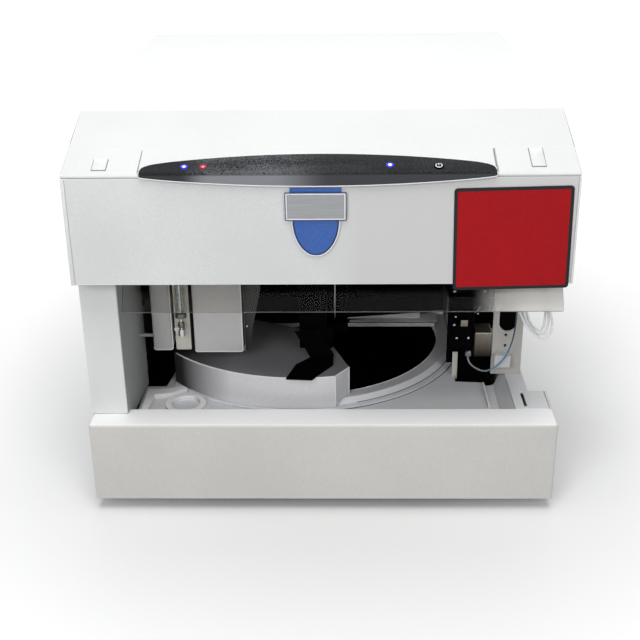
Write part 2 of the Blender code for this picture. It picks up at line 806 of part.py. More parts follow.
carry("window_pivot", window_pivot, [window_pane] + window_arms)

# Sample chamber: where it lies, and its bowl, rim, spindle and carousel
chamber_left_margin = 0.019
chamber_right_margin = 0.065
chamber_front_margin = 0.044
step_radius = (from_right(chamber_right_margin) - from_left(chamber_left_margin)) / 2
step_width = 0.0065
rim_width = 0.018
rim_chamfer = 0.006
rim_radius = step_radius - step_width
bowl_radius = rim_radius - rim_width
carousel_x = from_left(chamber_left_margin + step_radius)
carousel_back = chamber_front_margin + step_radius
chamber = (carousel_x, back(carousel_back))
bowl_wall = 0.003
bowl_low = pan_top + gap
bowl_hole = 0.008
rim_height = 0.0057
step_height = 0.0017
rim_low = floor_z + gap
rim_top = rim_low + rim_height
step_top = rim_low + step_height
bowl_top = rim_low - gap
bowl_plinth_inset = 0.0335
bowl_plinth = bowl_radius - bowl_plinth_inset
bowl_raise = 0.010
bowl_floor = bowl_low + bowl_raise
turned("chamber_bowl",
       [(bowl_radius, bowl_top), (bowl_radius + bowl_wall, bowl_top),
        (bowl_radius + bowl_wall, bowl_floor), (bowl_plinth, bowl_floor), (bowl_plinth, bowl_low),
        (bowl_plinth - bowl_wall, bowl_low), (bowl_plinth - bowl_wall, bowl_floor),
        (bowl_hole, bowl_floor), (bowl_hole, bowl_floor + bowl_wall),
        (bowl_radius, bowl_floor + bowl_wall)], (*chamber, 0), inner_grey)
spindle_radius = 0.006
spindle_flange = 0.018
flange_height = 0.0022
spindle_top = 0.070
flange_low = bowl_floor + bowl_wall + gap
turned("carousel_spindle",
       [(0, spindle_top), (spindle_radius, spindle_top),
        (spindle_radius, flange_low + flange_height), (spindle_flange, flange_low + flange_height),
        (spindle_flange, flange_low), (bowl_hole - gap, flange_low), (bowl_hole - gap, bowl_floor),
        (0, bowl_floor)], (*chamber, 0), steel, middle_round, closed=False)
disc_low = flange_low + flange_height + gap
disc_thickness = 0.003
disc_clearance = 0.0045
disc_radius = bowl_radius - disc_clearance
lip_width = 0.003
lip_height = 0.0055
hub_radius = 0.020
hub_top = 0.066
carousel = turned("carousel",
                  [(spindle_radius + gap, hub_top), (hub_radius, hub_top),
                   (hub_radius, disc_low + disc_thickness),
                   (disc_radius - lip_width, disc_low + disc_thickness),
                   (disc_radius - lip_width, disc_low + disc_thickness + lip_height),
                   (disc_radius, disc_low + disc_thickness + lip_height), (disc_radius, disc_low),
                   (spindle_radius + gap, disc_low)], (*chamber, 0), black_plastic)
divider_width = 0.003
for turn_angle in (30, 150, 270):
    divider = bmesh.new()
    divider_length = disc_radius - hub_radius
    place = (Matrix.Translation((*chamber, disc_low + disc_thickness + lip_height / 2))
             @ Matrix.Rotation(radians(turn_angle), 4, "Z")
             @ Matrix.Translation((hub_radius + divider_length / 2 - lip_width / 2, 0, 0))
             @ Matrix.Diagonal((divider_length, divider_width, lip_height + disc_thickness, 1)))
    bmesh.ops.create_cube(divider, size=1, matrix=place)
    joined(carousel, from_bmesh("divider_%d" % turn_angle, divider, black_plastic))
extension_length = 0.048
extension_overhang = 0.002
rim_extension_back = carousel_back + extension_length
flat_side_inset = 0.0615
flat_side_x = from_left(flat_side_inset)
chamber_rim = turned("chamber_rim",
                     [(bowl_radius, rim_top), (rim_radius - rim_chamfer, rim_top),
                      (rim_radius, step_top), (step_radius, step_top), (step_radius, rim_low),
                      (bowl_radius, rim_low)], (*chamber, 0), inner_grey)
joined(chamber_rim, block("rim_extension", (carousel_x + bowl_radius, chamber[1], rim_low),
                          (carousel_x + rim_radius + extension_overhang,
                           back(rim_extension_back), rim_top), inner_grey))
cut(chamber_rim, block("rim_flat_side", (-half_width, chamber[1] - step_radius, floor_z),
                       (flat_side_x, chamber[1] + step_radius, rim_top + overrun), inner_grey))

# Floor tray: the moulded floor round the chamber, with ridges and a drain channel
tray_thickness = 0.0025
tray_left_inset = 0.0328
tray_left = from_left(tray_left_inset)
sill_width = 0.0304
sill_left = from_right(sill_width)
tray_back_margin = 0.0395
tray_back = carousel_back + bowl_radius + tray_back_margin
tray_low = floor_z - tray_thickness
floor_tray = block("floor_tray", (tray_left, back(panel_front), tray_low),
                   (sill_left - gap, back(tray_back), floor_z), inner_grey)
boss_inset = 0.0775
boss_back = 0.0580
boss_radius = 0.0195
boss_bore = 0.0140
boss_height = 0.003
bore_depth = 0.0015
ridge_height = 0.005
ridge_inset = 0.0372
tray_ridge_front = 0.0405
tray_ridge_width = 0.0383
tray_ridge_depth = 0.050
tray_ridge_shares = [(0, 0), (0.157, 0), (0.206, 0.608), (0.632, 0.67),
                     (1, 0.89), (0.856, 1), (0.48, 0.868), (0, 0.848)]
ridge_outline = spread(tray_ridge_shares, from_left(ridge_inset), tray_ridge_front,
                       tray_ridge_width, tray_ridge_depth)
rib_inset = 0.0528
rib_width = 0.0018
rib_front = 0.0512
rib_back = 0.1000
rib_height = 0.003
slope_width = 0.0113
slope_back = 0.108
void_front = 0.0975
void_width = 0.0262
void_depth = 0.1025
void_shares = [(0, 0), (0.848, 0), (1, 0.317), (1, 1), (0, 1)]
void_outline = spread(void_shares, tray_left - overrun, void_front, void_width, void_depth)
hole_inset = 0.0788
hole_front = 0.0979
hole_width = 0.0498
hole_depth = 0.1021
hole_shares = [(0, 0.092), (0.536, 0.068), (0.548, 0.045), (0.62, 0),
               (0.773, 0.029), (0.888, 0.136), (1, 0.207), (1, 1),
               (0.046, 1)]
valve_hole = spread(hole_shares, from_right(hole_inset), hole_front, hole_width, hole_depth)
tray_middle = tray_low + tray_thickness / 2
slope_right = sill_left - 2 * gap
slope_outline = [(slope_right - slope_width, tray_middle), (slope_right - slope_width, floor_z),
                 (slope_right, ledge_z - gap), (slope_right, tray_middle)]
boss_x = from_left(boss_inset)
joined(floor_tray,
       outlined("ridge", ridge_outline, "XY", tray_middle, floor_z + ridge_height, inner_grey),
       block("rib", (from_right(rib_inset), back(rib_front), tray_middle),
             (from_right(rib_inset) + rib_width, back(rib_back), floor_z + rib_height), inner_grey),
       cylinder("boss", (boss_x, back(boss_back), tray_middle), "Z", boss_radius,
                tray_thickness / 2 + boss_height, inner_grey, middle_round),
       outlined("sill_slope", slope_outline, "XZ", back(panel_front + gap), back(slope_back),
                inner_grey))
cut(floor_tray,
    cylinder("boss_bore", (boss_x, back(boss_back), floor_z - bore_depth), "Z", boss_bore,
             bore_depth + boss_height + overrun, inner_grey, middle_round),
    cylinder("chamber_hole", (*chamber, tray_low - overrun), "Z", bowl_radius + bowl_wall + gap,
             tray_thickness + 2 * overrun, inner_grey, big_round),
    outlined("void_hole", void_outline, "XY", tray_low - overrun, floor_z + overrun, inner_grey),
    outlined("valve_hole", valve_hole, "XY", tray_low - overrun, ledge_z + overrun, inner_grey))

# Right sill: a hollow moulding at ledge height, set in behind the front corner
sill_outer = half_width - sheet - gap
sill_inner_inset = 0.0135
sill_inner = from_right(sill_inner_inset)
sill_step = 0.0666
sill_return = 0.200
sill_back = 0.212
slot_inset = 0.0215
slot_width = 0.0028
slot_front = 0.036
slot_back = 0.0645
slot_left = from_right(slot_inset)
sill_outline = [(sill_left, back(panel_front)), (sill_outer, back(panel_front)),
                (sill_outer, back(sill_step)), (sill_inner, back(sill_step)),
                (sill_inner, back(sill_return)), (sill_outer, back(sill_return)),
                (sill_outer, back(sill_back)), (sill_left, back(sill_back))]


def open_bottom(name, outline, low, high, material):
    """A flat outline with its side walls drawn down, open below."""
    shape = bmesh.new()
    rim = [shape.verts.new((x, y, high)) for x, y in outline]
    face = shape.faces.new(rim)
    face.normal_update()
    if face.normal.z < 0:
        face.normal_flip()
    walls = bmesh.ops.extrude_edge_only(shape, edges=list(face.edges))
    lowered = [item for item in walls["geom"] if isinstance(item, bmesh.types.BMVert)]
    bmesh.ops.translate(shape, verts=lowered, vec=(0, 0, low - high))
    bmesh.ops.recalc_face_normals(shape, faces=shape.faces)
    face.normal_update()
    if face.normal.z < 0:
        bmesh.ops.reverse_faces(shape, faces=shape.faces)
    return from_bmesh(name, shape, material)


right_sill = wall(open_bottom("right_sill", sill_outline, notch_low, ledge_z, inner_grey), sheet)
cut(right_sill, block("rim_slot", (slot_left, back(slot_front), ledge_z - sheet - overrun),
                      (slot_left + slot_width, back(slot_back), ledge_z + overrun), inner_grey))

# Half cover over the chamber: it stands on the rim's outer step
cover_inset = 0.0025
cover_radius = step_radius - cover_inset
cover_top = 0.115
cover_open_angle = -71.4
cover_corner_angle = -77.8
cover_corner_inset = 0.018
cover_corner_radius = step_radius - cover_corner_inset
cover_inner_radius = 0.0658
cover_back_slope = 0.457
cover_reach = carousel_x - flat_side_x
cover_far_angle = -180 + degrees(atan2(sqrt(cover_radius ** 2 - cover_reach ** 2), cover_reach))
cover_outline = arc(chamber, cover_radius, cover_far_angle, cover_corner_angle, 32)
for radius in (cover_corner_radius, cover_inner_radius):
    cover_outline.append((chamber[0] + radius * cos(radians(cover_open_angle)),
                          chamber[1] + radius * sin(radians(cover_open_angle))))
cover_run = cover_outline[-1][0] - flat_side_x
cover_outline.append((flat_side_x, cover_outline[-1][1] + cover_back_slope * cover_run))
carousel_cover = wall(open_bottom("carousel_cover", cover_outline, step_top + gap, cover_top,
                                  inner_grey), moulding)
cut(carousel_cover, cylinder("cover_relief", (*chamber, step_top - overrun), "Z",
                             rim_radius + 2 * gap, rim_top + gap - step_top + overrun, inner_grey,
                             big_round))

# Rear deck over the back of the chamber, with its slanted ridge
deck_set_back = 0.0148
deck_front = carousel_back + deck_set_back
deck_thickness = 0.0045
deck_left_inset = 0.020
deck_left = from_left(deck_left_inset)
deck_low = rim_top + gap
deck_top = deck_low + deck_thickness
deck_right = carousel_x + rim_radius + extension_overhang
deck_notch_x = carousel_x + bowl_radius - gap
deck_outline = [(deck_left, back(deck_front)), (deck_notch_x, back(deck_front)),
                (deck_notch_x, back(rim_extension_back + gap)),
                (deck_right, back(rim_extension_back + gap)),
                (deck_right, back(tray_back)), (deck_left, back(tray_back))]
ridge_set_back = 0.0132
ridge_depth = 0.022
ridge_left = 0.0225
ridge_right = 0.105
ridge_front = deck_front + ridge_set_back
ridge_back = ridge_front + ridge_depth
ridge_low_height = 0.0008
ridge_high_height = 0.0067
rear_deck = outlined("rear_deck", deck_outline, "XY", deck_low, deck_top, inner_grey)
deck_ridge = [(ridge_left, deck_top - deck_thickness / 2), (ridge_right, deck_top - deck_thickness / 2),
              (ridge_right, deck_top + ridge_high_height), (ridge_left, deck_top + ridge_low_height)]
joined(rear_deck, outlined("deck_ridge", deck_ridge, "XZ", back(ridge_front), back(ridge_back),
                           inner_grey))

# Rear bulkhead: black, across the inside and along the left
bulkhead_drop = 0.015
bulkhead_top = case_height - bulkhead_drop
bulkhead_half = half_width - sheet - gap
rear_bulkhead = block("rear_bulkhead", (-bulkhead_half, back(wall_back + gap), deck_top + gap),
                      (bulkhead_half, back(bulkhead_back), bulkhead_top), black_plastic,
                      "-y -z +z +x")
wall(rear_bulkhead, bulkhead_thickness)

# Needle arm on its column, with the guide foot, guide rod and cowl
column_x = 0.0
column_set_back = 0.058
column_back = carousel_back + column_set_back
column_radius = 0.012
column_flange = 0.021
column_flange_height = 0.004
column_drop = 0.060
column_top = case_height - column_drop
turned("arm_column",
       [(0, column_top), (column_radius, column_top),
        (column_radius, deck_top + gap + column_flange_height),
        (column_flange, deck_top + gap + column_flange_height), (column_flange, deck_top + gap),
        (0, deck_top + gap)], (column_x, back(column_back), 0), black_plastic, middle_round,
       closed=False)
hub_low = 0.175
hub_high = 0.235
hub_wall = 0.008
beam_low = 0.205
beam_high = 0.225
beam_front_reach = 0.142
beam_front = column_back - beam_front_reach
beam_left = -0.012
head_right = 0.0240
head_left = -0.0235
plate_front_reach = 0.12
plate_front = column_back - plate_front_reach
plate_depth = 0.006
head_low = 0.1245
foot_low = 0.1255
foot_high = 0.135
foot_front_reach = 0.144
foot_front = column_back - foot_front_reach
foot_left = 0.0080
foot_right = 0.0242
needle_x = 0.0111
needle_back_reach = 0.13
needle_back = column_back - needle_back_reach
needle_radius = 0.0008
rod_x = 0.0212
rod_radius = 0.0015
cowl_front_reach = 0.1645
cowl_front = column_back - cowl_front_reach
cowl_right = 0.0030
cowl_low = 0.132
toe_right = 0.0090
toe_low = 0.1185
toe_high = 0.140
toe_back_reach = 0.14
toe_back = column_back - toe_back_reach
needle_arm = turned("needle_arm",
                    [(column_radius + gap, hub_high), (column_radius + hub_wall, hub_high),
                     (column_radius + hub_wall, hub_low), (column_radius + gap, hub_low)],
                    (column_x, back(column_back), 0), black_plastic, middle_round)
joined(needle_arm,
       block("arm_beam", (beam_left, back(beam_front), beam_low),
             (head_right, back(column_back - column_radius - hub_wall / 2), beam_high),
             black_plastic),
       block("arm_head", (head_left, back(plate_front), head_low),
             (head_right, back(plate_front + plate_depth), beam_high - sheet), black_plastic),
       block("arm_foot", (foot_left, back(foot_front), foot_low),
             (foot_right, back(plate_front + plate_depth / 2), foot_high), black_plastic),
       block("arm_cowl", (head_left, back(cowl_front), cowl_low),
             (cowl_right, back(plate_front + plate_depth / 2), beam_low + sheet), black_plastic),
       block("arm_toe", (head_left, back(cowl_front), toe_low),
             (toe_right, back(toe_back), toe_high), black_plastic),
       cylinder("guide_rod", (rod_x, back(needle_back), foot_high - sheet / 2), "Z", rod_radius,
                beam_low - foot_high + sheet, steel))
cut(needle_arm, cylinder("needle_hole", (needle_x, back(needle_back), foot_low - overrun), "Z",
                         needle_radius + gap, foot_high - foot_low + 2 * overrun, steel, 12))
carriage_low = 0.186
carriage_height = 0.015
carriage_left = 0.0050
carriage_right = 0.0238
carriage_front_reach = 0.1375
carriage_front = column_back - carriage_front_reach
needle_low = 0.1285
needle_high = 0.2040
needle_carriage = block("needle_carriage", (carriage_left, back(carriage_front), carriage_low),
                        (carriage_right, back(plate_front - gap), carriage_low + carriage_height),
                        black_plastic)
cut(needle_carriage,
    cylinder("rod_hole", (rod_x, back(needle_back), carriage_low - overrun), "Z",
             rod_radius + gap, carriage_height + 2 * overrun, steel),
    cylinder("needle_seat", (needle_x, back(needle_back), carriage_low - overrun), "Z",
             needle_radius + gap, carriage_height + 2 * overrun, steel, 12))
needle = cylinder("needle", (needle_x, back(needle_back), needle_low), "Z", needle_radius,
                  needle_high - needle_low, steel, 12)
carry("arm_pivot", (column_x, back(column_back), deck_top),
      [needle_arm, needle_carriage, needle])

# Transport clip: a bent black sheet that lies on the half cover before the arm
clip_thickness = 0.0015
clip_lift = cover_top + gap
clip_width = 0.0443
clip_depth = 0.055
clip_left_reach = 0.0116
clip_front = 0.041
clip_shares = [(0, 0.036), (0.555, 0), (0.718, 0.238), (0.991, 0.569),
               (1, 1), (0.499, 0.885), (0.185, 0.571)]
clip_foot = spread(clip_shares, carousel_x - clip_left_reach, clip_front, clip_width, clip_depth)
clip_lean_across = -0.0157
clip_lean_back = 0.003
clip_rise = 0.027
leg_lean = Vector((clip_lean_across, clip_lean_back, clip_rise))
clip_shape = bmesh.new()
foot_corners = [clip_shape.verts.new((x, y, clip_lift)) for x, y in clip_foot]
clip_shape.faces.new(foot_corners)
leg_corners = [clip_shape.verts.new(corner.co + leg_lean) for corner in foot_corners[4:6]]
clip_shape.faces.new([foot_corners[5], foot_corners[4], leg_corners[0], leg_corners[1]])
bmesh.ops.recalc_face_normals(clip_shape, faces=clip_shape.faces)
clip_shape.faces.ensure_lookup_table()
if clip_shape.faces[0].normal.z > 0:
    bmesh.ops.reverse_faces(clip_shape, faces=clip_shape.faces)
transport_clip = wall(from_bmesh("transport_clip", clip_shape, black_plastic), clip_thickness)

# Injection valve on its bracket, which stands on the base pan
bracket_left_inset = 0.0865
bracket_right_inset = 0.0460
bracket_foot_inset = 0.0755
bracket_waist_z = 0.0925
bracket_left = from_right(bracket_left_inset)
bracket_right = from_right(bracket_right_inset)
bracket_foot_left = from_right(bracket_foot_inset)
valve_back = 0.125
bracket_plate = 0.003
bracket_top = 0.185
web_back = 0.190
valve_inset = 0.0748
valve_x = from_right(valve_inset)
valve_z = 0.140
bracket_outline = [(bracket_foot_left, pan_top + gap), (bracket_right, pan_top + gap),
                   (bracket_right, bracket_top), (bracket_left, bracket_top),
                   (bracket_left, bracket_waist_z), (bracket_foot_left, bracket_waist_z)]
valve_bracket = outlined("valve_bracket", bracket_outline, "XZ", back(valve_back),
                         back(valve_back + bracket_plate), black_plastic)
shaft_radius = 0.0035
joined(valve_bracket, block("bracket_web", (bracket_right - bracket_plate,
                                            back(valve_back + bracket_plate / 2), pan_top + gap),
                            (bracket_right, back(web_back), bracket_top), black_plastic))
cut(valve_bracket, cylinder("shaft_hole", (valve_x, back(valve_back - overrun), valve_z), "Y",
                            shaft_radius + gap, bracket_plate + 2 * overrun, steel, 20))
body_front = 0.103
body_left_inset = 0.0860
body_right_inset = 0.0630
body_left = from_right(body_left_inset)
body_right = from_right(body_right_inset)
body_round = 0.0015
block_round = 0.0008
body_low = 0.119
body_high = 0.160
stator_front = 0.0975
stator_radius = 0.009
nut_radius = 0.0028
nut_height = 0.0085
nut_inset = 0.0675
nut_x = from_right(nut_inset)
nut_back = 0.106
valve_body = rounded(block("valve_body", (body_left, back(body_front), body_low),
                           (body_right, back(valve_back - gap), body_high), black_plastic),
                     body_round, 1)
joined(valve_body,
       cylinder("stator", (valve_x, back(stator_front), valve_z), "Y", stator_radius,
                body_front - stator_front + overrun, steel, 24),
       cylinder("nut", (nut_x, back(nut_back), body_low - nut_height), "Z", nut_radius,
                nut_height + overrun, steel))
rotor_radius = 0.011
rotor_depth = 0.0115
rotor_front = valve_back + bracket_plate + gap
valve_rotor = turned("valve_rotor",
                     [(0, rotor_depth), (rotor_radius, rotor_depth), (rotor_radius, 0),
                      (shaft_radius, 0), (shaft_radius, -bracket_plate - gap),
                      (0, -bracket_plate - gap)],
                     (valve_x, back(rotor_front), valve_z), steel, 20, closed=False, axis="Y")
drive_front = rotor_front + rotor_depth + gap
drive_low = 0.122
drive_high = 0.158
block("valve_drive", (body_left, back(drive_front), drive_low),
      (bracket_right - bracket_plate - gap, back(web_back), drive_high), sheet_metal)
metal_left_inset = 0.0624
metal_right_inset = 0.0454
metal_left = from_right(metal_left_inset)
metal_right = from_right(metal_right_inset)
metal_front = 0.100
metal_low = 0.1107
metal_high = 0.1367
rounded(block("heater_block", (metal_left, back(metal_front), metal_low),
              (metal_right, back(valve_back - gap), metal_high), sheet_metal),
        block_round, 1)

# Tubing plate, sensor block and the capillary from the valve
plate_left_inset = 0.045
plate_right_inset = 0.016
plate_left = from_right(plate_left_inset)
plate_right = from_right(plate_right_inset)
plate_face = 0.102
plate_sheet = 0.002
plate_top = 0.195
plate_shoulder_inset = 0.0335
plate_shoulder_x = from_right(plate_shoulder_inset)
plate_shoulder_z = 0.178
slot_centre_inset = 0.0305
slot_centre_x = from_right(slot_centre_inset)
slot_radius = 0.0085
slot_low_z = 0.1462
slot_high_z = 0.1600
screw_hole_radius = 0.0015
screw_hole_inset = 0.032
screw_hole_x = from_right(screw_hole_inset)
screw_hole_levels = (0.1334, 0.1223)
tubing_outline = [(plate_left, ledge_z + gap), (plate_right, ledge_z + gap),
                  (plate_right, plate_top), (plate_shoulder_x, plate_top),
                  (plate_shoulder_x, plate_shoulder_z), (plate_left, plate_shoulder_z)]
tubing_plate = outlined("tubing_plate", tubing_outline, "XZ", back(plate_face),
                        back(plate_face + plate_sheet), inner_grey)
slot_outline = arc((slot_centre_x, slot_low_z), slot_radius, 180, 360, 13)
slot_outline += arc((slot_centre_x, slot_high_z), slot_radius, 0, 180, 13)
cut(tubing_plate, outlined("plate_slot", slot_outline, "XZ", back(plate_face - overrun),
                           back(plate_face + plate_sheet + overrun), inner_grey))
for level, hole_z in enumerate(screw_hole_levels):
    cut(tubing_plate, cylinder("plate_hole_%d" % level,
                               (screw_hole_x, back(plate_face - overrun), hole_z), "Y",
                               screw_hole_radius, plate_sheet + 2 * overrun, steel, 12))
sensor_left_inset = 0.043
sensor_right_inset = 0.027
sensor_left = from_right(sensor_left_inset)
sensor_right = from_right(sensor_right_inset)
sensor_low = 0.1015
sensor_high = 0.115
sensor_depth = 0.008
rounded(block("sensor_block", (sensor_left, back(plate_face - gap - sensor_depth), sensor_low),
              (sensor_right, back(plate_face - gap), sensor_high), white_plastic),
        block_round, 1)
union_radius = 0.003
union_height = 0.010
capillary_radius = 0.0008
union_inset = 0.0244
union_x = from_right(union_inset)
union_low = 0.180
union_y = back(plate_face - union_radius - gap)
joined(tubing_plate, cylinder("tube_union", (union_x, union_y, union_low), "Z", union_radius,
                              union_height, steel),
       block("union_clip", (union_x - union_radius / 2, union_y, union_low),
             (union_x + union_radius / 2, back(plate_face + plate_sheet / 2),
              union_low + union_height), steel))
capillary_start = Vector((nut_x, back(nut_back), body_low - nut_height - gap))
capillary_end = Vector((union_x, union_y, union_low - gap))
capillary_span = capillary_end - capillary_start
capillary_bulge = 0.0162
capillary_shares = [(0.0, 0.0, 0.0), (0.007, 0.03, -0.062), (0.069, 0.25, -0.128),
                    (0.261, 0.46, -0.187), (0.416, 0.74, -0.165), (0.615, 0.96, -0.066),
                    (0.786, 0.99, 0.074), (0.905, 0.99, 0.262), (0.971, 0.99, 0.491),
                    (0.990, 0.93, 0.745), (0.998, 0.65, 0.904), (1.0, 0.45, 1.0)]
capillary_route = [capillary_start + Vector((across * capillary_span.x,
                                             -forward * capillary_bulge,
                                             up * capillary_span.z))
                   for across, forward, up in capillary_shares[:-1]] + [capillary_end]
tube("capillary", capillary_route, capillary_radius, tube_teal)

# Tube manifold under the right side panel's edge, and its three hanging loops
manifold_inset = 0.034
manifold_left = from_right(manifold_inset)
manifold_front = 0.0455
manifold_depth = 0.0145
manifold_drop = 0.0105
manifold_low = fascia_low - manifold_drop
manifold_height = 0.0145
block("tube_manifold", (manifold_left, back(manifold_front), manifold_low),
      (half_width - sheet - gap, back(manifold_front + manifold_depth),
       manifold_low + manifold_height), case_grey)
loop_radius = 0.0011
loop_routes = {
    "drain_tube_front": (0.0490, [(0.1790, 0.1970), (0.1793, 0.1854), (0.1850, 0.1706),
                                  (0.1934, 0.1607), (0.2002, 0.1549), (0.2048, 0.1536),
                                  (0.2095, 0.1599), (0.2107, 0.1698), (0.2088, 0.1783),
                                  (0.2056, 0.1870), (0.2045, 0.1970)]),
    "drain_tube_middle": (0.0525, [(0.1828, 0.1970), (0.1830, 0.1850), (0.1880, 0.1700),
                                   (0.1952, 0.1608), (0.2010, 0.1565), (0.2058, 0.1590),
                                   (0.2078, 0.1690), (0.2066, 0.1790), (0.2040, 0.1880),
                                   (0.2032, 0.1970)]),
    "drain_tube_rear": (0.0560, [(0.1866, 0.1970), (0.1868, 0.1836), (0.1909, 0.1690),
                                 (0.1973, 0.1610), (0.2018, 0.1590), (0.2045, 0.1640),
                                 (0.2050, 0.1781), (0.2040, 0.1870), (0.2030, 0.1970)]),
}
for loop_name, (loop_back, loop_points) in loop_routes.items():
    loop_ends = [(loop_points[0][0], manifold_low - gap)]
    loop_ends += loop_points
    loop_ends += [(loop_points[-1][0], manifold_low - gap)]
    tube(loop_name, [(x, back(loop_back), z) for x, z in loop_ends], loop_radius, tube_white)

# Mains inlet with its rocker switch, in the rear panel
flange_margin = 0.004
inlet_depth = 0.024
socket_width = 0.0245
socket_height = 0.0165
socket_depth = 0.016
socket_shift = 0.015
pocket_shift = 0.016
socket_z = inlet_z - socket_shift
pocket_z = inlet_z + pocket_shift
pocket_width = 0.021
pocket_height = 0.015
pocket_depth = 0.008
flange_y = rear_y + gap
power_inlet = block("power_inlet",
                    (inlet_low[0] - flange_margin, flange_y, inlet_low[1] - flange_margin),
                    (inlet_high[0] + flange_margin, rear_y + rear_proud,
                     inlet_high[1] + flange_margin), black_plastic)
joined(power_inlet, block("inlet_body",
                          (inlet_low[0] + gap, rear_y - inlet_depth, inlet_low[1] + gap),
                          (inlet_high[0] - gap, flange_y + gap, inlet_high[1] - gap),
                          black_plastic))
cut(power_inlet,
    block("socket", (inlet_x - socket_width / 2, rear_y - socket_depth,
                     socket_z - socket_height / 2),
          (inlet_x + socket_width / 2, rear_y + rear_proud + overrun,
           socket_z + socket_height / 2), black_plastic),
    block("pocket", (inlet_x - pocket_width / 2, rear_y - pocket_depth,
                     pocket_z - pocket_height / 2),
          (inlet_x + pocket_width / 2, rear_y + rear_proud + overrun,
           pocket_z + pocket_height / 2), black_plastic))
rocker_angle = radians(8)
rocker_clearance = 0.0008
rocker_set_in = 0.0010
rocker_half = pocket_height / 2 - rocker_clearance
rocker_y = rear_y - rocker_set_in
rocker_depth = 0.0035
rocker_face = 0.0020
rocker_rise = rocker_half * tan(rocker_angle)
rocker_outline = [(rocker_face, 0), (rocker_face + rocker_rise, rocker_half),
                  (-rocker_depth, rocker_half - rocker_rise), (-rocker_depth, rocker_rise - rocker_half),
                  (rocker_face + rocker_rise, -rocker_half)]
rocker_switch = outlined("rocker_switch", rocker_outline, "YZ",
                         inlet_x - pocket_width / 2 + gap, inlet_x + pocket_width / 2 - gap,
                         black_plastic)
rocker_switch.data.transform(Matrix.Rotation(rocker_angle, 4, "X"))
rocker_switch.location = (0, rocker_y, pocket_z)

# Fan behind the rear panel's guard
frame_half = 0.040
frame_depth = 0.020
frame_back = rear_y - sheet - gap
spider = 0.0020
rotor_hub = 0.013
tip_clearance = 0.0015
blade_tip = fan_radius - tip_clearance
blade_thickness = 0.0012
blade_count = 7
fan_frame = block("fan_frame", (fan_x - frame_half, frame_back - frame_depth, fan_z - frame_half),
                  (fan_x + frame_half, frame_back, fan_z + frame_half), black_plastic)
cut(fan_frame, cylinder("fan_bore", (fan_x, frame_back - frame_depth - overrun, fan_z), "Y",
                        fan_radius, frame_depth + 2 * overrun, black_plastic, middle_round))
joined(fan_frame,
       cylinder("fan_motor_seat", (fan_x, frame_back - frame_depth, fan_z), "Y", rotor_hub,
                spider, black_plastic, 20),
       block("strut_x", (fan_x - fan_radius - overrun, frame_back - frame_depth, fan_z - spider),
             (fan_x + fan_radius + overrun, frame_back - frame_depth + spider, fan_z + spider),
             black_plastic),
       block("strut_z", (fan_x - spider, frame_back - frame_depth, fan_z - fan_radius - overrun),
             (fan_x + spider, frame_back - frame_depth + spider, fan_z + fan_radius + overrun),
             black_plastic))
rotor_start = frame_back - frame_depth + spider + gap
rotor_length = frame_depth - spider - 2 * gap - spider
fan_rotor = cylinder("fan_rotor", (0, 0, 0), "Y", rotor_hub, rotor_length, black_plastic, 20)
blade_pitch = radians(35)
blade_chord_share = 0.8
blade_chord = rotor_length * blade_chord_share
for index in range(blade_count):
    blade = bmesh.new()
    place = (Matrix.Rotation(2 * pi * index / blade_count, 4, "Y")
             @ Matrix.Translation(((rotor_hub + blade_tip) / 2 - blade_thickness / 2,
                                   rotor_length / 2, 0))
             @ Matrix.Rotation(blade_pitch, 4, "X")
             @ Matrix.Diagonal((blade_tip - rotor_hub + blade_thickness, blade_chord,
                                blade_thickness, 1)))
    bmesh.ops.create_cube(blade, size=1, matrix=place)
    blade_object = from_bmesh("fan_blade_%d" % index, blade, black_plastic)
    blade_object.location = (fan_x, rotor_start, fan_z)
    joined(fan_rotor, blade_object)
fan_rotor.location = (fan_x, rotor_start, fan_z)
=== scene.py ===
"""A chromatography autosampler, its window swung up under the top cover, on a pale floor."""
import json
from functools import partial
from itertools import product
from math import atan2, cos, pi, radians, sin

import bmesh
import bpy
from mathutils import Matrix, Vector

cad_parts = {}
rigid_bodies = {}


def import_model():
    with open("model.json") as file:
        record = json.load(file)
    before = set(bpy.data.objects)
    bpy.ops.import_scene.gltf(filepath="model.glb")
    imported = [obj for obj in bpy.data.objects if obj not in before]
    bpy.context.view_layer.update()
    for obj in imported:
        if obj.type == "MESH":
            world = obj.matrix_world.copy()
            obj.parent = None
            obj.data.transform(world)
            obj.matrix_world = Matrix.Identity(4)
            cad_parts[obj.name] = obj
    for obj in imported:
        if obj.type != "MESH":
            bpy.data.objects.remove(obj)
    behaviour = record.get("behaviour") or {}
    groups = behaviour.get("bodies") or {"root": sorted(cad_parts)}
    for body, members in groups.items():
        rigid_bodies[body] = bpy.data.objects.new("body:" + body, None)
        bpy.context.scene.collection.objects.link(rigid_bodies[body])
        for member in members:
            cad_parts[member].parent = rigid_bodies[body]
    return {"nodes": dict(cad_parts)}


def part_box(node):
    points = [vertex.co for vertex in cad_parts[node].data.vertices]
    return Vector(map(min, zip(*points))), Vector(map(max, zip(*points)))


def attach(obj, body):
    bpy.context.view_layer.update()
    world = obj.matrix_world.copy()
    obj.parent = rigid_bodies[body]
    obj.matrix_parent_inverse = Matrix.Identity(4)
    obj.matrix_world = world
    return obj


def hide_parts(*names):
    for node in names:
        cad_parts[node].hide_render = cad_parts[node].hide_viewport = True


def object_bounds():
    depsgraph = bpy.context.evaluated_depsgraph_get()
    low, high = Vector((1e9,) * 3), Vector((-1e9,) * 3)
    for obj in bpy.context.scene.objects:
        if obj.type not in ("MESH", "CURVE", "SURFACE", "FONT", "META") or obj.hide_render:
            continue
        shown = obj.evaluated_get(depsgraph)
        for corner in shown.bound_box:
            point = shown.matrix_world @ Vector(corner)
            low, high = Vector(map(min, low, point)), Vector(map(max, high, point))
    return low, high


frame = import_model()
cad_low, cad_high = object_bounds()

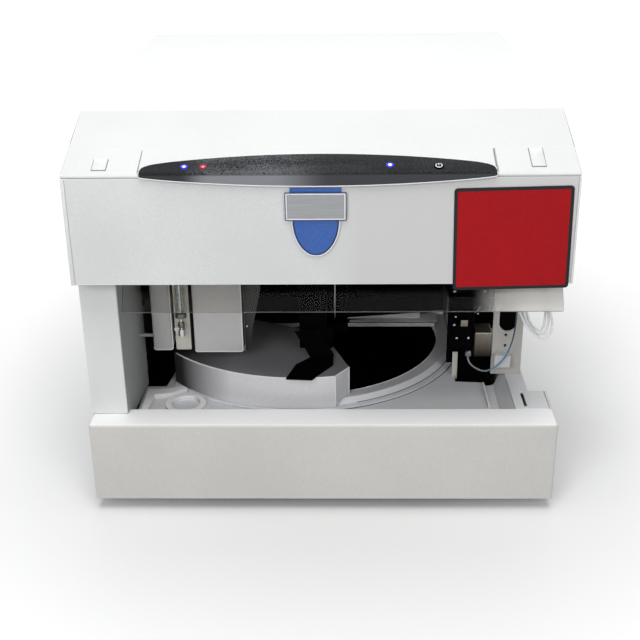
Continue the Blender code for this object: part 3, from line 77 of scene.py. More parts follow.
# Camera: it stands a little right of the middle, about 0.8 m in front of the case, and looks
# 24 degrees down with a slight roll, as the photograph does.
camera_pitch = radians(24.0)
camera_yaw = radians(-1.30)
camera_roll = radians(-0.69)
camera_place = Vector((0.018, -1.089, 0.567))
focal_pixels = 1053.0
image_pixels = 640
sensor_width = 36.0
forward = Vector((sin(camera_yaw) * cos(camera_pitch), cos(camera_yaw) * cos(camera_pitch),
                  -sin(camera_pitch)))
level = Vector((cos(camera_yaw), -sin(camera_yaw), 0))
upright = level.cross(forward)
across = level * cos(camera_roll) + upright * sin(camera_roll)
above = upright * cos(camera_roll) - level * sin(camera_roll)
camera_data = bpy.data.cameras.new("camera")
camera_data.sensor_width = sensor_width
camera_data.lens = focal_pixels / image_pixels * sensor_width
camera_data.clip_start = 0.05
camera_data.clip_end = 60
camera = bpy.data.objects.new("camera", camera_data)
scene_objects = bpy.context.scene.collection.objects
scene_objects.link(camera)
camera.matrix_world = Matrix.Translation(camera_place) @ Matrix(
    (across, above, -forward)).transposed().to_4x4()
bpy.context.scene.camera = camera


# Drain tubes: three loops of extruded fluoropolymer tube, 2.2 mm thick. Each is pushed into
# the tube manifold at both ends and hangs between them, gripped by a short moulded collar.
def linear(code):
    """The linear colour of an sRGB hex code."""
    values = [int(code[i:i + 2], 16) / 255 for i in (1, 3, 5)]
    return tuple(v / 12.92 if v <= 0.04045 else ((v + 0.055) / 1.055) ** 2.4
                 for v in values) + (1.0,)


def new_material(name):
    """A material with an empty node tree, and the call that adds a node to it."""
    material = bpy.data.materials.new(name)
    material.use_nodes = True
    material.node_tree.nodes.clear()
    return material, partial(add_node, material)


def add_node(owner, kind, inputs=None, **settings):
    """A node of a material, world or group. An input takes a value, a socket or a node."""
    tree = getattr(owner, "node_tree", owner)
    node = tree.nodes.new(kind)
    for setting, value in settings.items():
        setattr(node, setting, value)
    for socket, value in (inputs or {}).items():
        if isinstance(value, bpy.types.Node):
            value = value.outputs[0]
        if isinstance(value, bpy.types.NodeSocket):
            tree.links.new(value, node.inputs[socket])
        else:
            node.inputs[socket].default_value = value
    return node


def moulded(name, colour, shade, roughness, specular=0.5, peel=0.0012, relief=0.25):
    """Moulded plastic or paint: a slow drift between two shades and a fine orange peel."""
    material, add = new_material(name)
    place = add("ShaderNodeTexCoord").outputs["Object"]
    drift_size, peel_depth = 0.11, 0.00008
    drift = add("ShaderNodeTexNoise", {"Vector": place, "Scale": 1 / drift_size, "Detail": 4.0})
    skin = add("ShaderNodeTexNoise", {"Vector": place, "Scale": 1 / peel})
    blend = add("ShaderNodeMix", {0: 0.45, 2: drift, 3: skin})
    share = add("ShaderNodeMapRange", {"Value": blend, "From Min": 0.40, "From Max": 0.60})
    tint = add("ShaderNodeMix", {0: share, 6: linear(shade), 7: linear(colour)},
               data_type="RGBA").outputs[2]
    rough = add("ShaderNodeMapRange",
                {"Value": drift, "To Min": roughness - 0.06, "To Max": roughness + 0.06})
    bump = add("ShaderNodeBump", {"Height": skin, "Strength": relief, "Distance": peel_depth})
    shader = add("ShaderNodeBsdfPrincipled",
                 {"Base Color": tint, "Roughness": rough,
                  "Normal": bump, "Specular IOR Level": specular})
    add("ShaderNodeOutputMaterial", {"Surface": shader})
    return material


def back(distance):
    """World Y of a place that lies this far behind the case's front face."""
    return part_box("lower_front_panel")[0].y + distance


def bead(name, points, radius, material, body="case", closed=False, resolution=2):
    """A thin round line through points, as a curve."""
    curve = bpy.data.curves.new(name, "CURVE")
    curve.dimensions = "3D"
    curve.bevel_depth = radius
    curve.bevel_resolution = resolution
    curve.use_fill_caps = True
    spline = curve.splines.new("POLY")
    spline.points.add(len(points) - 1)
    for target, point in zip(spline.points, points):
        target.co = (*point, 1)
    spline.use_cyclic_u = closed
    curve.materials.append(material)
    line = bpy.data.objects.new(name, curve)
    scene_objects.link(line)
    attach(line, body)
    return line


def piece(name, shape, material, body="case"):
    """A mesh object from a closed bmesh, riding on a CAD body."""
    bmesh.ops.recalc_face_normals(shape, faces=shape.faces)
    mesh = bpy.data.meshes.new(name)
    shape.to_mesh(mesh)
    shape.free()
    mesh.materials.append(material)
    mesh.shade_smooth()
    mesh.set_sharp_from_angle(angle=radians(38))
    made = bpy.data.objects.new(name, mesh)
    scene_objects.link(made)
    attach(made, body)
    return made


def turned(name, profile, place, direction, material, body="case", sides=32):
    """A turned piece from (radius, height) pairs, standing on a place along a direction."""
    shape = bmesh.new()
    line = [shape.verts.new((radius, 0, height)) for radius, height in profile]
    edges = [shape.edges.new(pair) for pair in zip(line, line[1:])]
    bmesh.ops.spin(shape, geom=line + edges, cent=(0, 0, 0), axis=(0, 0, 1), angle=2 * pi,
                   steps=sides, use_merge=True)
    bmesh.ops.remove_doubles(shape, verts=shape.verts, dist=0.00001)
    lie = Vector(direction).to_track_quat("Z", "Y").to_matrix().to_4x4()
    shape.transform(Matrix.Translation(place) @ lie)
    return piece(name, shape, material, body)


def smooth_route(points, spacing):
    """Evenly spaced points on a Catmull-Rom curve through the route's own points."""
    route = [Vector(p) for p in points]
    padded = [2 * route[0] - route[1]] + route + [2 * route[-1] - route[-2]]
    divisions = 20
    fine = []
    for a, b, c, d in zip(padded, padded[1:], padded[2:], padded[3:]):
        for i in range(divisions):
            t = i / divisions
            fine.append((2 * b + (c - a) * t + (2 * a - 5 * b + 4 * c - d) * t * t
                         + (3 * b - a - 3 * c + d) * t * t * t) / 2)
    fine.append(route[-1])
    lengths = [0.0]
    for a, b in zip(fine, fine[1:]):
        lengths.append(lengths[-1] + (b - a).length)
    count = max(3, round(lengths[-1] / spacing))
    even = []
    k = 0
    for i in range(count + 1):
        target = lengths[-1] * i / count
        while k < len(fine) - 2 and lengths[k + 1] < target:
            k += 1
        share = (target - lengths[k]) / (lengths[k + 1] - lengths[k])
        even.append(fine[k].lerp(fine[k + 1], min(1.0, share)))
    return even


def clear(name, colour, shade, cloud, roughness, ior, transmission, stretch=(1, 1, 1),
          specular=0.5):
    """Plastic or glass that lets light through: clouds between two tints, rougher where pale."""
    material, add = new_material(name)
    place = add("ShaderNodeTexCoord").outputs["Object"]
    drawn = add("ShaderNodeMapping", {"Vector": place, "Scale": stretch})
    clouds = add("ShaderNodeTexNoise", {"Vector": drawn, "Scale": 1 / cloud, "Detail": 3.0})
    tint = add("ShaderNodeMix", {0: clouds, 6: linear(shade), 7: linear(colour)},
               data_type="RGBA").outputs[2]
    rough = add("ShaderNodeMapRange",
                {"Value": clouds, "To Min": roughness[0], "To Max": roughness[1]})
    shader = add("ShaderNodeBsdfPrincipled",
                 {"Base Color": tint, "Roughness": rough, "IOR": ior,
                  "Transmission Weight": transmission, "Specular IOR Level": specular})
    add("ShaderNodeOutputMaterial", {"Surface": shader})
    return material


# Fluoropolymer tube, extruded: milky white and waxy, with only a little light let through
fluoropolymer = clear("fluoropolymer tube, extruded", "#FBFBFB", "#EFF0F0", 0.008, (0.20, 0.34),
                      1.36, 0.04)
# Black ABS, moulded with a fine spark-eroded skin: dull, and only edges catch light
black_abs = moulded("black ABS, moulded", "#040405", "#030304", 0.66, 0.02)
tube_radius = 0.0011
manifold_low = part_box("tube_manifold")[0].z
contact_gap = 0.0003
drain_tubes = {
    "drain_tube_front": (0.0490, 0.1424, [
        (0.1790, 0.1970), (0.1793, 0.1854), (0.1850, 0.1706), (0.1934, 0.1607),
        (0.2002, 0.1549), (0.2048, 0.1536), (0.2095, 0.1599), (0.2107, 0.1698),
        (0.2088, 0.1783), (0.2056, 0.1870), (0.2045, 0.1970)]),
    "drain_tube_middle": (0.0525, 0.1334, [
        (0.1828, 0.1970), (0.1830, 0.1850), (0.1880, 0.1700), (0.1952, 0.1608),
        (0.2010, 0.1565), (0.2058, 0.1590), (0.2078, 0.1690), (0.2066, 0.1790),
        (0.2040, 0.1880), (0.2032, 0.1970)]),
    "drain_tube_rear": (0.0560, 0.1250, [
        (0.1866, 0.1970), (0.1868, 0.1836), (0.1909, 0.1690), (0.1973, 0.1610),
        (0.2018, 0.1590), (0.2045, 0.1640), (0.2050, 0.1781), (0.2040, 0.1870),
        (0.2030, 0.1970)]),
}
for tube_name, (loop_back, loop_length, loop_points) in drain_tubes.items():
    loop_ends = [(loop_points[0][0], manifold_low - contact_gap)] + loop_points
    loop_ends.append((loop_points[-1][0], manifold_low - contact_gap))
    route = smooth_route([(x, back(loop_back), z) for x, z in loop_ends], 5 * tube_radius)
    flex = bead(tube_name + "_flex", route, tube_radius, fluoropolymer, resolution=4)
    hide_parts(tube_name)
    for end_name, end in (("out", route[0]), ("in", route[-1])):
        turned(tube_name + "_collar_" + end_name,
               [(tube_radius + 0.0002, 0.0), (tube_radius + 0.0008, 0.0004),
                (tube_radius + 0.0008, 0.0032), (tube_radius + 0.0003, 0.0042),
                (tube_radius + 0.0002, 0.0042), (tube_radius + 0.0002, 0.0)],
               end + Vector((0, 0, contact_gap / 2)), (0, 0, -1), black_abs, sides=20)


# Base pan and feet: the pan is folded from zinc plated sheet and carries every other piece.
# The four feet are turned rubber, each held by a screw through its middle.
def brushed(name, colour, shade, roughness, stretch, line=0.004):
    """Rolled or brushed metal: marks drawn out along one direction."""
    material, add = new_material(name)
    place = add("ShaderNodeTexCoord").outputs["Object"]
    drawn = add("ShaderNodeMapping", {"Vector": place, "Scale": stretch})
    marks = add("ShaderNodeTexNoise", {"Vector": drawn, "Scale": 1 / line, "Detail": 4.0})
    tint = add("ShaderNodeMix", {0: marks, 6: linear(shade), 7: linear(colour)},
               data_type="RGBA").outputs[2]
    rough = add("ShaderNodeMapRange",
                {"Value": marks, "To Min": roughness - 0.08, "To Max": roughness + 0.12})
    bump = add("ShaderNodeBump", {"Height": marks, "Strength": 0.18, "Distance": 0.00005})
    shader = add("ShaderNodeBsdfPrincipled",
                 {"Base Color": tint, "Roughness": rough, "Normal": bump, "Metallic": 1.0})
    add("ShaderNodeOutputMaterial", {"Surface": shader})
    return material


weld_and_shade = bpy.data.node_groups.new("weld and shade", "GeometryNodeTree")
weld_and_shade.interface.new_socket("Geometry", in_out="INPUT", socket_type="NodeSocketGeometry")
weld_and_shade.interface.new_socket("Geometry", in_out="OUTPUT", socket_type="NodeSocketGeometry")
smooth_below = radians(33)
add = partial(add_node, weld_and_shade)
loaded = add("NodeGroupInput")
bare = add("GeometryNodeRemoveAttribute", {"Geometry": loaded, "Name": "custom_normal"})
weld = add("GeometryNodeMergeByDistance", {"Geometry": bare, "Distance": 0.00001})
smooth_faces = add("GeometryNodeSetShadeSmooth", {"Geometry": weld}, domain="FACE")
fold = add("GeometryNodeInputMeshEdgeAngle").outputs["Unsigned Angle"]
shallow = add("FunctionNodeCompare", {0: fold, 1: smooth_below}, operation="LESS_THAN")
smooth_edges = add("GeometryNodeSetShadeSmooth",
                   {"Geometry": smooth_faces, "Shade Smooth": shallow}, domain="EDGE")
add("NodeGroupOutput", {0: smooth_edges})


def finish(material, edge, *names):
    """Gives CAD nodes their material, and rounds their sharp edges by this much."""
    for name in names:
        node = frame["nodes"][name]
        node.data.materials.clear()
        node.data.materials.append(material)
        shade = node.modifiers.new("weld and shade", "NODES")
        shade.node_group = weld_and_shade
        if edge:
            bevel = node.modifiers.new("rounded edges", "BEVEL")
            bevel.width = edge
            bevel.segments = 3
            bevel.limit_method = "ANGLE"
            bevel.angle_limit = smooth_below
            even = node.modifiers.new("even shading", "WEIGHTED_NORMAL")
            even.keep_sharp = True


# Steel sheet, zinc plated and rolled: a soft grey metal with faint marks along the roll
zinc_sheet = brushed("steel sheet, zinc plated", "#8F9394", "#777B7C", 0.38, (0.1, 1, 1))
# Natural rubber, moulded: nearly black, dull and a little powdery
foot_rubber = moulded("natural rubber, moulded", "#1B1B1C", "#131314", 0.78, 0.3, 0.0016, 0.6)
finish(zinc_sheet, 0.0004, "base_pan")
finish(foot_rubber, 0.0004, "foot_front_left", "foot_front_right", "foot_rear_left",
       "foot_rear_right")

# Side and rear panels: steel sheet, powder coated pale grey, lapped over the base pan and
# under the top cover, and held by pan head screws along their edges.
# Powder coat over steel: an even pale grey with a slight orange peel, half matt
powder_coat = moulded("steel sheet, powder coated", "#D6D8D7", "#CFD1D0", 0.44)
# Stainless steel, turned: bright, with fine rings round its axis
turned_steel = brushed("stainless steel, turned", "#C9CBCD", "#A9ACAF", 0.24, (1, 1, 0.08))


def screw(name, place, direction, radius, body="case"):
    """A pan head screw with a round recess, standing on a surface."""
    profile = ((0.0, 0.18), (0.42, 0.18), (0.50, 0.50), (0.80, 0.42), (0.97, 0.16),
               (1.0, 0.0), (0.0, 0.0))
    return turned(name, [(radius * r, radius * h) for r, h in profile], place, direction,
                  turned_steel, body, 24)


finish(powder_coat, 0.0006, "left_side_panel", "right_side_panel")
finish(powder_coat, 0.0, "rear_panel")
half_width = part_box("lower_front_panel")[1].x
panel_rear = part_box("rear_panel")[1].y
screw_inset = 0.010
for i, (x, z) in enumerate(((-1, 0.030), (1, 0.030), (-1, 0.325), (1, 0.325), (0, 0.325),
                            (0, 0.030))):
    screw("panel_screw_%d" % i, (x * (half_width - screw_inset), panel_rear, z), (0, 1, 0),
          0.0028)
for side_name, side in (("left", -1), ("right", 1)):
    for i, (distance, z) in enumerate(((0.470, 0.040), (0.470, 0.320), (0.250, 0.040))):
        screw("side_screw_%s_%d" % (side_name, i),
              (side * (half_width - 0.0011), back(distance), z), (side, 0, 0), 0.0026)

# Rear fittings: a moulded mains inlet with three pins and a rocker switch snap into the rear
# panel. The fan is screwed on inside, by the four corners of its frame.
# Black nylon, moulded smooth: satin, so that its edges and the rocker catch the light
black_nylon = moulded("black nylon, moulded smooth", "#222325", "#1A1B1C", 0.42, 0.4)
finish(black_nylon, 0.0003, "power_inlet", "rocker_switch")
finish(black_nylon, 0.0004, "fan_frame")
finish(black_nylon, 0.0002, "fan_rotor")
fan_low, fan_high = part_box("fan_frame")
fan_inset = 0.0055
fan_columns = (fan_low.x + fan_inset, fan_high.x - fan_inset)
fan_rows = (fan_low.z + fan_inset, fan_high.z - fan_inset)
for i, (z, x) in enumerate(product(fan_rows, fan_columns)):
    screw("fan_screw_%d" % i, (x, panel_rear, z), (0, 1, 0), 0.0032)


def slab(name, low, high, material, body="case", edge=0.0004, place=None):
    """A block between two corners with rounded edges, or turned and moved by a matrix."""
    low, high = Vector(low), Vector(high)
    shape = bmesh.new()
    bmesh.ops.create_cube(shape, size=1, matrix=Matrix.Translation((low + high) / 2)
                          @ Matrix.Diagonal((*(high - low), 1)))
    bmesh.ops.bevel(shape, geom=shape.edges[:], offset=edge, offset_type="OFFSET", segments=3,
                    profile=0.5, affect="EDGES", material=-1)
    if place:
        shape.transform(place)
    return piece(name, shape, material, body)


inlet_low, inlet_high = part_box("power_inlet")
pin_z = inlet_low.z + 0.017
for i, (offset_x, offset_z) in enumerate(((-0.007, -0.001), (0.0, 0.002), (0.007, -0.001))):
    pin_x = (inlet_low.x + inlet_high.x) / 2 + offset_x
    slab("mains_pin_%d" % i, (pin_x - 0.0010, inlet_high.y - 0.022, pin_z + offset_z - 0.002),
         (pin_x + 0.0010, inlet_high.y - 0.005, pin_z + offset_z + 0.002), turned_steel)


# Lower front panel: one ABS moulding whose flat top is the ledge in front of the chamber. It
# hooks over the base pan and screws to the side panels from inside.
def overlay(material, source, axis, low, high, colour):
    """Lays a second shade over a finish, from none at one value of a coordinate to full."""
    add = partial(add_node, material)
    place = add("ShaderNodeTexCoord").outputs[source]
    parts = add("ShaderNodeSeparateXYZ", {"Vector": place})
    share = add("ShaderNodeMapRange",
                {"Value": parts.outputs[axis], "From Min": low, "From Max": high})
    shader = material.node_tree.nodes["Principled BSDF"]
    under = shader.inputs["Base Color"].links[0].from_socket
    mixed = add("ShaderNodeMix", {0: share, 6: under, 7: linear(colour)}, data_type="RGBA")
    material.node_tree.links.new(mixed.outputs[2], shader.inputs["Base Color"])


# ABS, moulded warm grey: half matt, with a fine even skin
warm_abs = moulded("warm grey ABS, moulded", "#D3D2CE", "#CAC9C5", 0.42)
finish(warm_abs, 0.0016, "lower_front_panel")
# The ledge on top is painted paler than the front, as painted light from above
overlay(warm_abs, "Normal", "Z", 0.80, 0.98, "#FAFAFA")

# Floor tray and right sill: the tray is vacuum formed from one grey sheet, with a ridge, a
# drain boss, a rib and a slope up to the sill. The sill is a hollow moulding at ledge height.
# ABS sheet, vacuum formed: pale grey and dull
formed_abs = moulded("grey ABS sheet, vacuum formed", "#D9DADD", "#CFD0D3", 0.50, 0.35)
# ABS, moulded pale grey: smoother than the tray beside it
sill_abs = moulded("pale grey ABS, moulded sill", "#E2E3E5", "#D9DADC", 0.44, 0.4)
finish(formed_abs, 0.0004, "floor_tray")
# Everything raised above the tray's floor is painted whiter, as painted light on its raised parts
overlay(formed_abs, "Object", "Z", 0.0805, 0.082, "#EDEDEE")
# The faces turned to the left, the slope up to the sill among them, are painted darker as painted
# shade
overlay(formed_abs, "Normal", "X", -0.4, -0.8, "#A9AAAC")
finish(sill_abs, 0.0006, "right_sill")

# Carousel chamber: a spun bowl with a turntable on a steel spindle, all matt black, under a
# moulded rim. Thin dark lines in the step round the rim and at its foot are painted shadow.
# Black ABS with a coarse eroded skin: it takes nearly all the light
matt_black = moulded("black ABS, coarse skin", "#050506", "#030304", 0.80, 0.03, 0.0020, 0.5)
# ABS, moulded mid grey: a little smoother than the tray
rim_abs = moulded("mid grey ABS, moulded", "#C0C1C4", "#B6B7BA", 0.44, 0.4)
# Painted shadow: a dark grey, dull line where the rim's step and foot fall into shade
painted_shadow_grey = moulded("dark grey, painted shadow line", "#66686A", "#58595B", 0.70, 0.3)
finish(matt_black, 0.0, "chamber_bowl", "carousel")
finish(turned_steel, 0.0, "carousel_spindle")
finish(rim_abs, 0.0005, "chamber_rim")
rim_low, rim_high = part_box("chamber_rim")
bowl_low, bowl_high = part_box("chamber_bowl")
chamber_middle = Vector(((bowl_low.x + bowl_high.x) / 2, (bowl_low.y + bowl_high.y) / 2, 0))
step_radius = (rim_high.y - rim_low.y) / 2


def rim_arc(radius, z, first, last):
    """Points round the chamber, two degrees apart."""
    return [chamber_middle + Vector((radius * cos(radians(a)), radius * sin(radians(a)), z))
            for a in range(first, last + 1, 2)]


# The rim's riser and step, below its top, are painted lighter than the top, as painted light from
# the front
overlay(rim_abs, "Object", "Z", rim_high.z - 0.0001, rim_high.z - 0.0004, "#DADBDE")
# Painted highlight: a pale line laid along an edge where it catches the light
painted_edge_highlight = moulded("pale ABS, painted edge highlight", "#E4E5E6", "#DCDDDE", 0.38)
riser_foot = step_radius - 0.0064
step_top = rim_low.z + 0.0017
shadow_line_radius = 0.00045
# Painted shadow lines: one at the foot of the riser, one where the rim meets the tray
bead("rim_step_shadow", rim_arc(riser_foot, step_top, -70, 0), shadow_line_radius, painted_shadow_grey)
bead("rim_foot_shadow", rim_arc(step_radius + 0.0003, rim_low.z - 0.0001, -76, 12), shadow_line_radius,
     painted_shadow_grey)
bowl_edge = (bowl_high.x - bowl_low.x) / 2 - 0.003
# A painted highlight along the rim's inner edge
bead("rim_inner_highlight", rim_arc(bowl_edge + 0.0003, rim_high.z, -70, 14), 0.0004, painted_edge_highlight)

# Carousel cover: a half lid of moulded ABS that stands on the rim's step and hides the front
# left vials. It is one thin shell with a rounded top edge.
# ABS, moulded mid grey, with its flat top painted darker than the skirt as painted shade
cover_abs = moulded("mid grey ABS, moulded lid", "#DADADC", "#CECED1", 0.48, 0.35)
finish(cover_abs, 0.0012, "carousel_cover")
overlay(cover_abs, "Normal", "Z", 0.75, 0.98, "#7C7C7F")
# Its left end, under the syringe housings, is painted near black as painted shadow
overlay(cover_abs, "Object", "X", -0.088, -0.140, "#2A2A2B")
cover_low, cover_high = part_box("carousel_cover")
cover_radius = step_radius - 0.0025
cover_corners = [chamber_middle + Vector((radius * cos(radians(a)), radius * sin(radians(a)), 0))
                 for radius, a in ((cover_radius, -77.8), (0.1500, -71.4))]
# Painted highlights along the skirt's top edge and down its two corners
cover_edge_line = rim_arc(cover_radius - 0.0005, cover_high.z - 0.0002, -138, -78)
cover_edge_line.append(cover_corners[1] + Vector((0, 0, cover_high.z - 0.0002)))
bead("cover_edge_highlight", cover_edge_line, 0.0007, painted_edge_highlight)
for i, corner in enumerate(cover_corners):
    bead("cover_corner_%d" % i, [corner + Vector((0, 0, z))
                                 for z in (cover_low.z + 0.001, cover_high.z - 0.0004)],
         0.0005, painted_edge_highlight)

# Rear deck and bulkhead: a moulded deck covers the back of the chamber, and a black sheet
# stands behind it, folded round the left and right of the inside, as painted shade.
# ABS, moulded pale grey
deck_abs = moulded("pale grey ABS, moulded deck", "#EEEFF0", "#E4E5E6", 0.46, 0.4)
# The wedge's paler grey is painted light
painted_light_abs = moulded("pale grey ABS, painted light on the deck", "#F2F3F4", "#E8E9EA", 0.46, 0.4)
finish(deck_abs, 0.0005, "rear_deck")
# The bulkhead's black is painted shade at the back and sides of the inside
finish(matt_black, 0.0003, "rear_bulkhead")
# The deck's flat top is painted near black as painted shadow, and a thin pale wedge laid on it
# along the front is painted light
overlay(deck_abs, "Normal", "Z", 0.80, 0.97, "#1B1B1C")
deck_thickness = 0.0045
deck_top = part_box("rear_deck")[0].z + deck_thickness
wedge_left, wedge_right, wedge_thickness = 0.0266, 0.1235, 0.0006
wedge_front, wedge_back, wedge_tip = 0.2294, 0.2545, 0.2340
wedge = bmesh.new()
bmesh.ops.create_cube(wedge, size=1, matrix=Matrix.Translation(
    ((wedge_left + wedge_right) / 2, back((wedge_front + wedge_back) / 2),
     deck_top + wedge_thickness / 3))
    @ Matrix.Diagonal((wedge_right - wedge_left, wedge_back - wedge_front, wedge_thickness, 1)))
for vertex in wedge.verts:
    if vertex.co.x < (wedge_left + wedge_right) / 2 and vertex.co.y > back(wedge_tip):
        vertex.co.y = back(wedge_tip)
piece("deck_painted_light", wedge, painted_light_abs)

# Needle arm: it turns on a black column behind the chamber and carries the needle's slide.
# A bent black clip locks it for transport and lifts straight off.
# Steel, black painted: dull, so only the bends show
black_paint = moulded("steel, painted matt black", "#040405", "#030304", 0.76, 0.02)
finish(black_paint, 0.0003, "arm_column", "transport_clip")
finish(black_abs, 0.0004, "needle_arm")
finish(black_abs, 0.0003, "needle_carriage")
finish(turned_steel, 0.0, "needle")

# Left post and inner wall: the post is a moulded pillar between the ledge and the fascia. The
# wall behind it is powder coated sheet that slants in towards the syringes.
# ABS, moulded pale grey: the colour of the whole front, half matt with a fine even skin
pale_abs = moulded("pale grey ABS, moulded", "#DEDFDF", "#D4D6D6", 0.42)
# Its right half, beside the card, is painted a shade darker, as painted shade
overlay(pale_abs, "Object", "X", 0.000, 0.035, "#CDCDCD")
# Powder coat, coarse enough to look sandy, in a darker grey than the side panels: the darker grey
# is painted shade
wall_coat = moulded("steel sheet, coarse powder coat", "#A3A6A5", "#929594", 0.62, 0.3, 0.0016)
finish(pale_abs, 0.0010, "left_post")
finish(wall_coat, 0.0004, "left_inner_wall")

# Syringe group: two moulded housings stand either side of a beige bracket that holds the
# glass syringe. A painted highlight runs along the lower edge of each housing and of the bracket.
# ABS, moulded warm grey: smooth and half matt
housing_abs = moulded("warm light grey ABS, moulded", "#C4C3C3", "#BAB9B9", 0.40)
# ABS, moulded beige grey
bracket_abs = moulded("beige grey ABS, moulded", "#C9C6BC", "#BEBBB0", 0.44)
finish(housing_abs, 0.0, "syringe_housing_left", "syringe_housing_right")
finish(bracket_abs, 0.0, "syringe_bracket")
# The cheeks that face right are painted dark, as painted shade
overlay(housing_abs, "Normal", "X", 0.45, 0.75, "#2A2A28")
# The right housing's right end is painted near black, as painted shade
overlay(housing_abs, "Object", "X", -0.0770, -0.0758, "#121211")
# The left housing is painted a shade darker, as painted shade
overlay(housing_abs, "Object", "X", -0.1405, -0.1430, "#B0AFAF")
# The bracket's sides that face right are painted dark, as painted shade
overlay(bracket_abs, "Normal", "X", 0.45, 0.75, "#1C1C1B")
edge_radius = 0.0006
edge_set_in = 0.0009
edge_top = 0.215
for edge_name, left, right, bottom, front, corner in (
        ("housing_highlight_left", -0.1639, -0.1439, 0.1280, -0.1750, 0.0030),
        ("bracket_lower_highlight", -0.1420, -0.1266, 0.1280, -0.1735, 0.0018),
        ("housing_highlight_right", -0.1240, -0.0764, 0.1257, -0.1750, 0.0030)):
    bend = corner - edge_set_in
    edge_line = [(middle + bend * cos(radians(a)), front + edge_set_in,
                  bottom + corner + bend * sin(radians(a)))
                 for middle, first in ((left + corner, 180), (right - corner, 270))
                 for a in range(first, first + 91, 15)]
    edge_line.append((right - edge_set_in, front + edge_set_in, edge_top))
    bead(edge_name, edge_line, edge_radius, painted_edge_highlight)
# Borosilicate glass, drawn: clear, with a faint green edge
glass = clear("borosilicate glass, drawn", "#FAFCFC", "#EAF1F0", 0.016, (0.018, 0.022), 1.47, 1.0)
finish(glass, 0.0, "syringe_barrel")
finish(turned_steel, 0.0, "syringe_plunger")
barrel_low, barrel_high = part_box("syringe_barrel")
barrel_radius = (barrel_high.x - barrel_low.x) / 2
barrel_place = Vector(((barrel_low.x + barrel_high.x) / 2, (barrel_low.y + barrel_high.y) / 2, 0))
# Brass, nickel plated and knurled: darker and warmer than the steel
knurled_nickel = brushed("nickel plated brass, knurled", "#77746C", "#4A4843", 0.34, (1, 1, 0.2),
                         0.0012)
for cap_name, cap_z in (("barrel_ferrule_low", barrel_low.z - 0.0005),
                        ("barrel_ferrule_high", barrel_high.z - 0.0050)):
    turned(cap_name, [(barrel_radius + 0.0002, 0.0), (barrel_radius + 0.0009, 0.0006),
                      (barrel_radius + 0.0009, 0.0050), (barrel_radius + 0.0002, 0.0056),
                      (barrel_radius + 0.0002, 0.0)],
           barrel_place + Vector((0, 0, cap_z)), (0, 0, 1), knurled_nickel)
# Black ink, screen printed: dense and half matt
printed_black = moulded("black ink, screen printed", "#0D0F14", "#090A0E", 0.50, 0.25)
marks, first_mark, mark_pitch, mark_line = 9, 0.009, 0.005, 0.00015
for mark in range(marks):
    mark_z = barrel_low.z + first_mark + mark * mark_pitch
    sweep = range(-6, 7) if mark % 2 else range(-9, 10)
    bead("scale_mark_%d" % mark,
         [barrel_place + Vector(((barrel_radius + 0.0001) * sin(i * pi / 18),
                                 -(barrel_radius + 0.0001) * cos(i * pi / 18), mark_z))
          for i in sweep], mark_line, printed_black)
bracket_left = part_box("syringe_bracket")[0].x
thumb_radius = 0.0030
turned("thumb_screw", [(0.0, 0.0062), (thumb_radius * 0.8, 0.0062), (thumb_radius, 0.0054),
                       (thumb_radius, 0.0016), (thumb_radius * 0.7, 0.0006),
                       (thumb_radius * 0.7, 0.0), (0.0, 0.0)],
       (bracket_left + 0.0036, back(0.0798), 0.1531), (0, -1, 0), bracket_abs)
turned("plunger_collar", [(0.0014, 0.0), (0.0028, 0.0), (0.0030, 0.0010), (0.0030, 0.0040),
                          (0.0022, 0.0052), (0.0014, 0.0052), (0.0014, 0.0)],
       barrel_place + Vector((0, 0, 0.1555)), (0, 0, 1), knurled_nickel, body="plunger")
screw("cheek_screw", (-0.0740, back(0.0946), 0.1471), (0, -1, 0), 0.0013)

# Injection valve: a black bracket carries the moulded valve body, its steel rotor and a plated
# drive. A steel nut clamps the capillary under the body, and a heater block sits beside it.
finish(black_paint, 0.0003, "valve_bracket")
finish(black_abs, 0.0003, "valve_body")
finish(turned_steel, 0.0, "valve_rotor")
finish(zinc_sheet, 0.0004, "valve_drive")
# Aluminium block, dark anodised: brown grey, darker towards the bottom
anodised = brushed("aluminium block, dark anodised", "#8A8378", "#6E685E", 0.46, (1, 1, 0.15))
finish(anodised, 0.0003, "heater_block")
heater_low, heater_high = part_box("heater_block")
overlay(anodised, "Object", "Z", heater_high.z, heater_low.z, "#26231F")
# A painted highlight along the block's top front edge
bead("heater_top_highlight", [(x, heater_low.y + 0.0002, heater_high.z - 0.0002)
                         for x in (heater_low.x + 0.0006, heater_high.x - 0.0006)], 0.0005,
     turned_steel)
valve_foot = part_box("valve_body")[0].z
nut_centre = (0.1425, back(0.1030))
turned("capillary_nut", [(0.0004, -0.0002), (0.0022, 0.0), (0.0031, 0.0010), (0.0033, 0.0022),
                         (0.0031, 0.0056), (0.0022, 0.0066), (0.0004, 0.0066),
                         (0.0004, -0.0002)],
       (*nut_centre, valve_foot - 0.0001), (0, 0, 1), turned_steel, sides=24)
for screw_name, x, distance, z, radius in (
        ("valve_screw_a", 0.1268, 0.0975, 0.1465, 0.0012),
        ("valve_screw_b", 0.1278, 0.0975, 0.1550, 0.0010),
        ("valve_screw_c", 0.1297, 0.0975, 0.1325, 0.0013),
        ("valve_screw_d", 0.1410, 0.0975, 0.1325, 0.0013),
        ("bracket_screw_a", 0.1530, 0.1250, 0.1462, 0.0012),
        ("bracket_screw_b", 0.1290, 0.1250, 0.1700, 0.0014),
        ("bracket_screw_c", 0.1590, 0.1250, 0.1700, 0.0014)):
    screw(screw_name, (x, back(distance), z), (0, -1, 0), radius)
slab("valve_label_plate", (0.1330, back(0.0967), 0.1450), (0.1398, back(0.0976), 0.1518),
     anodised)
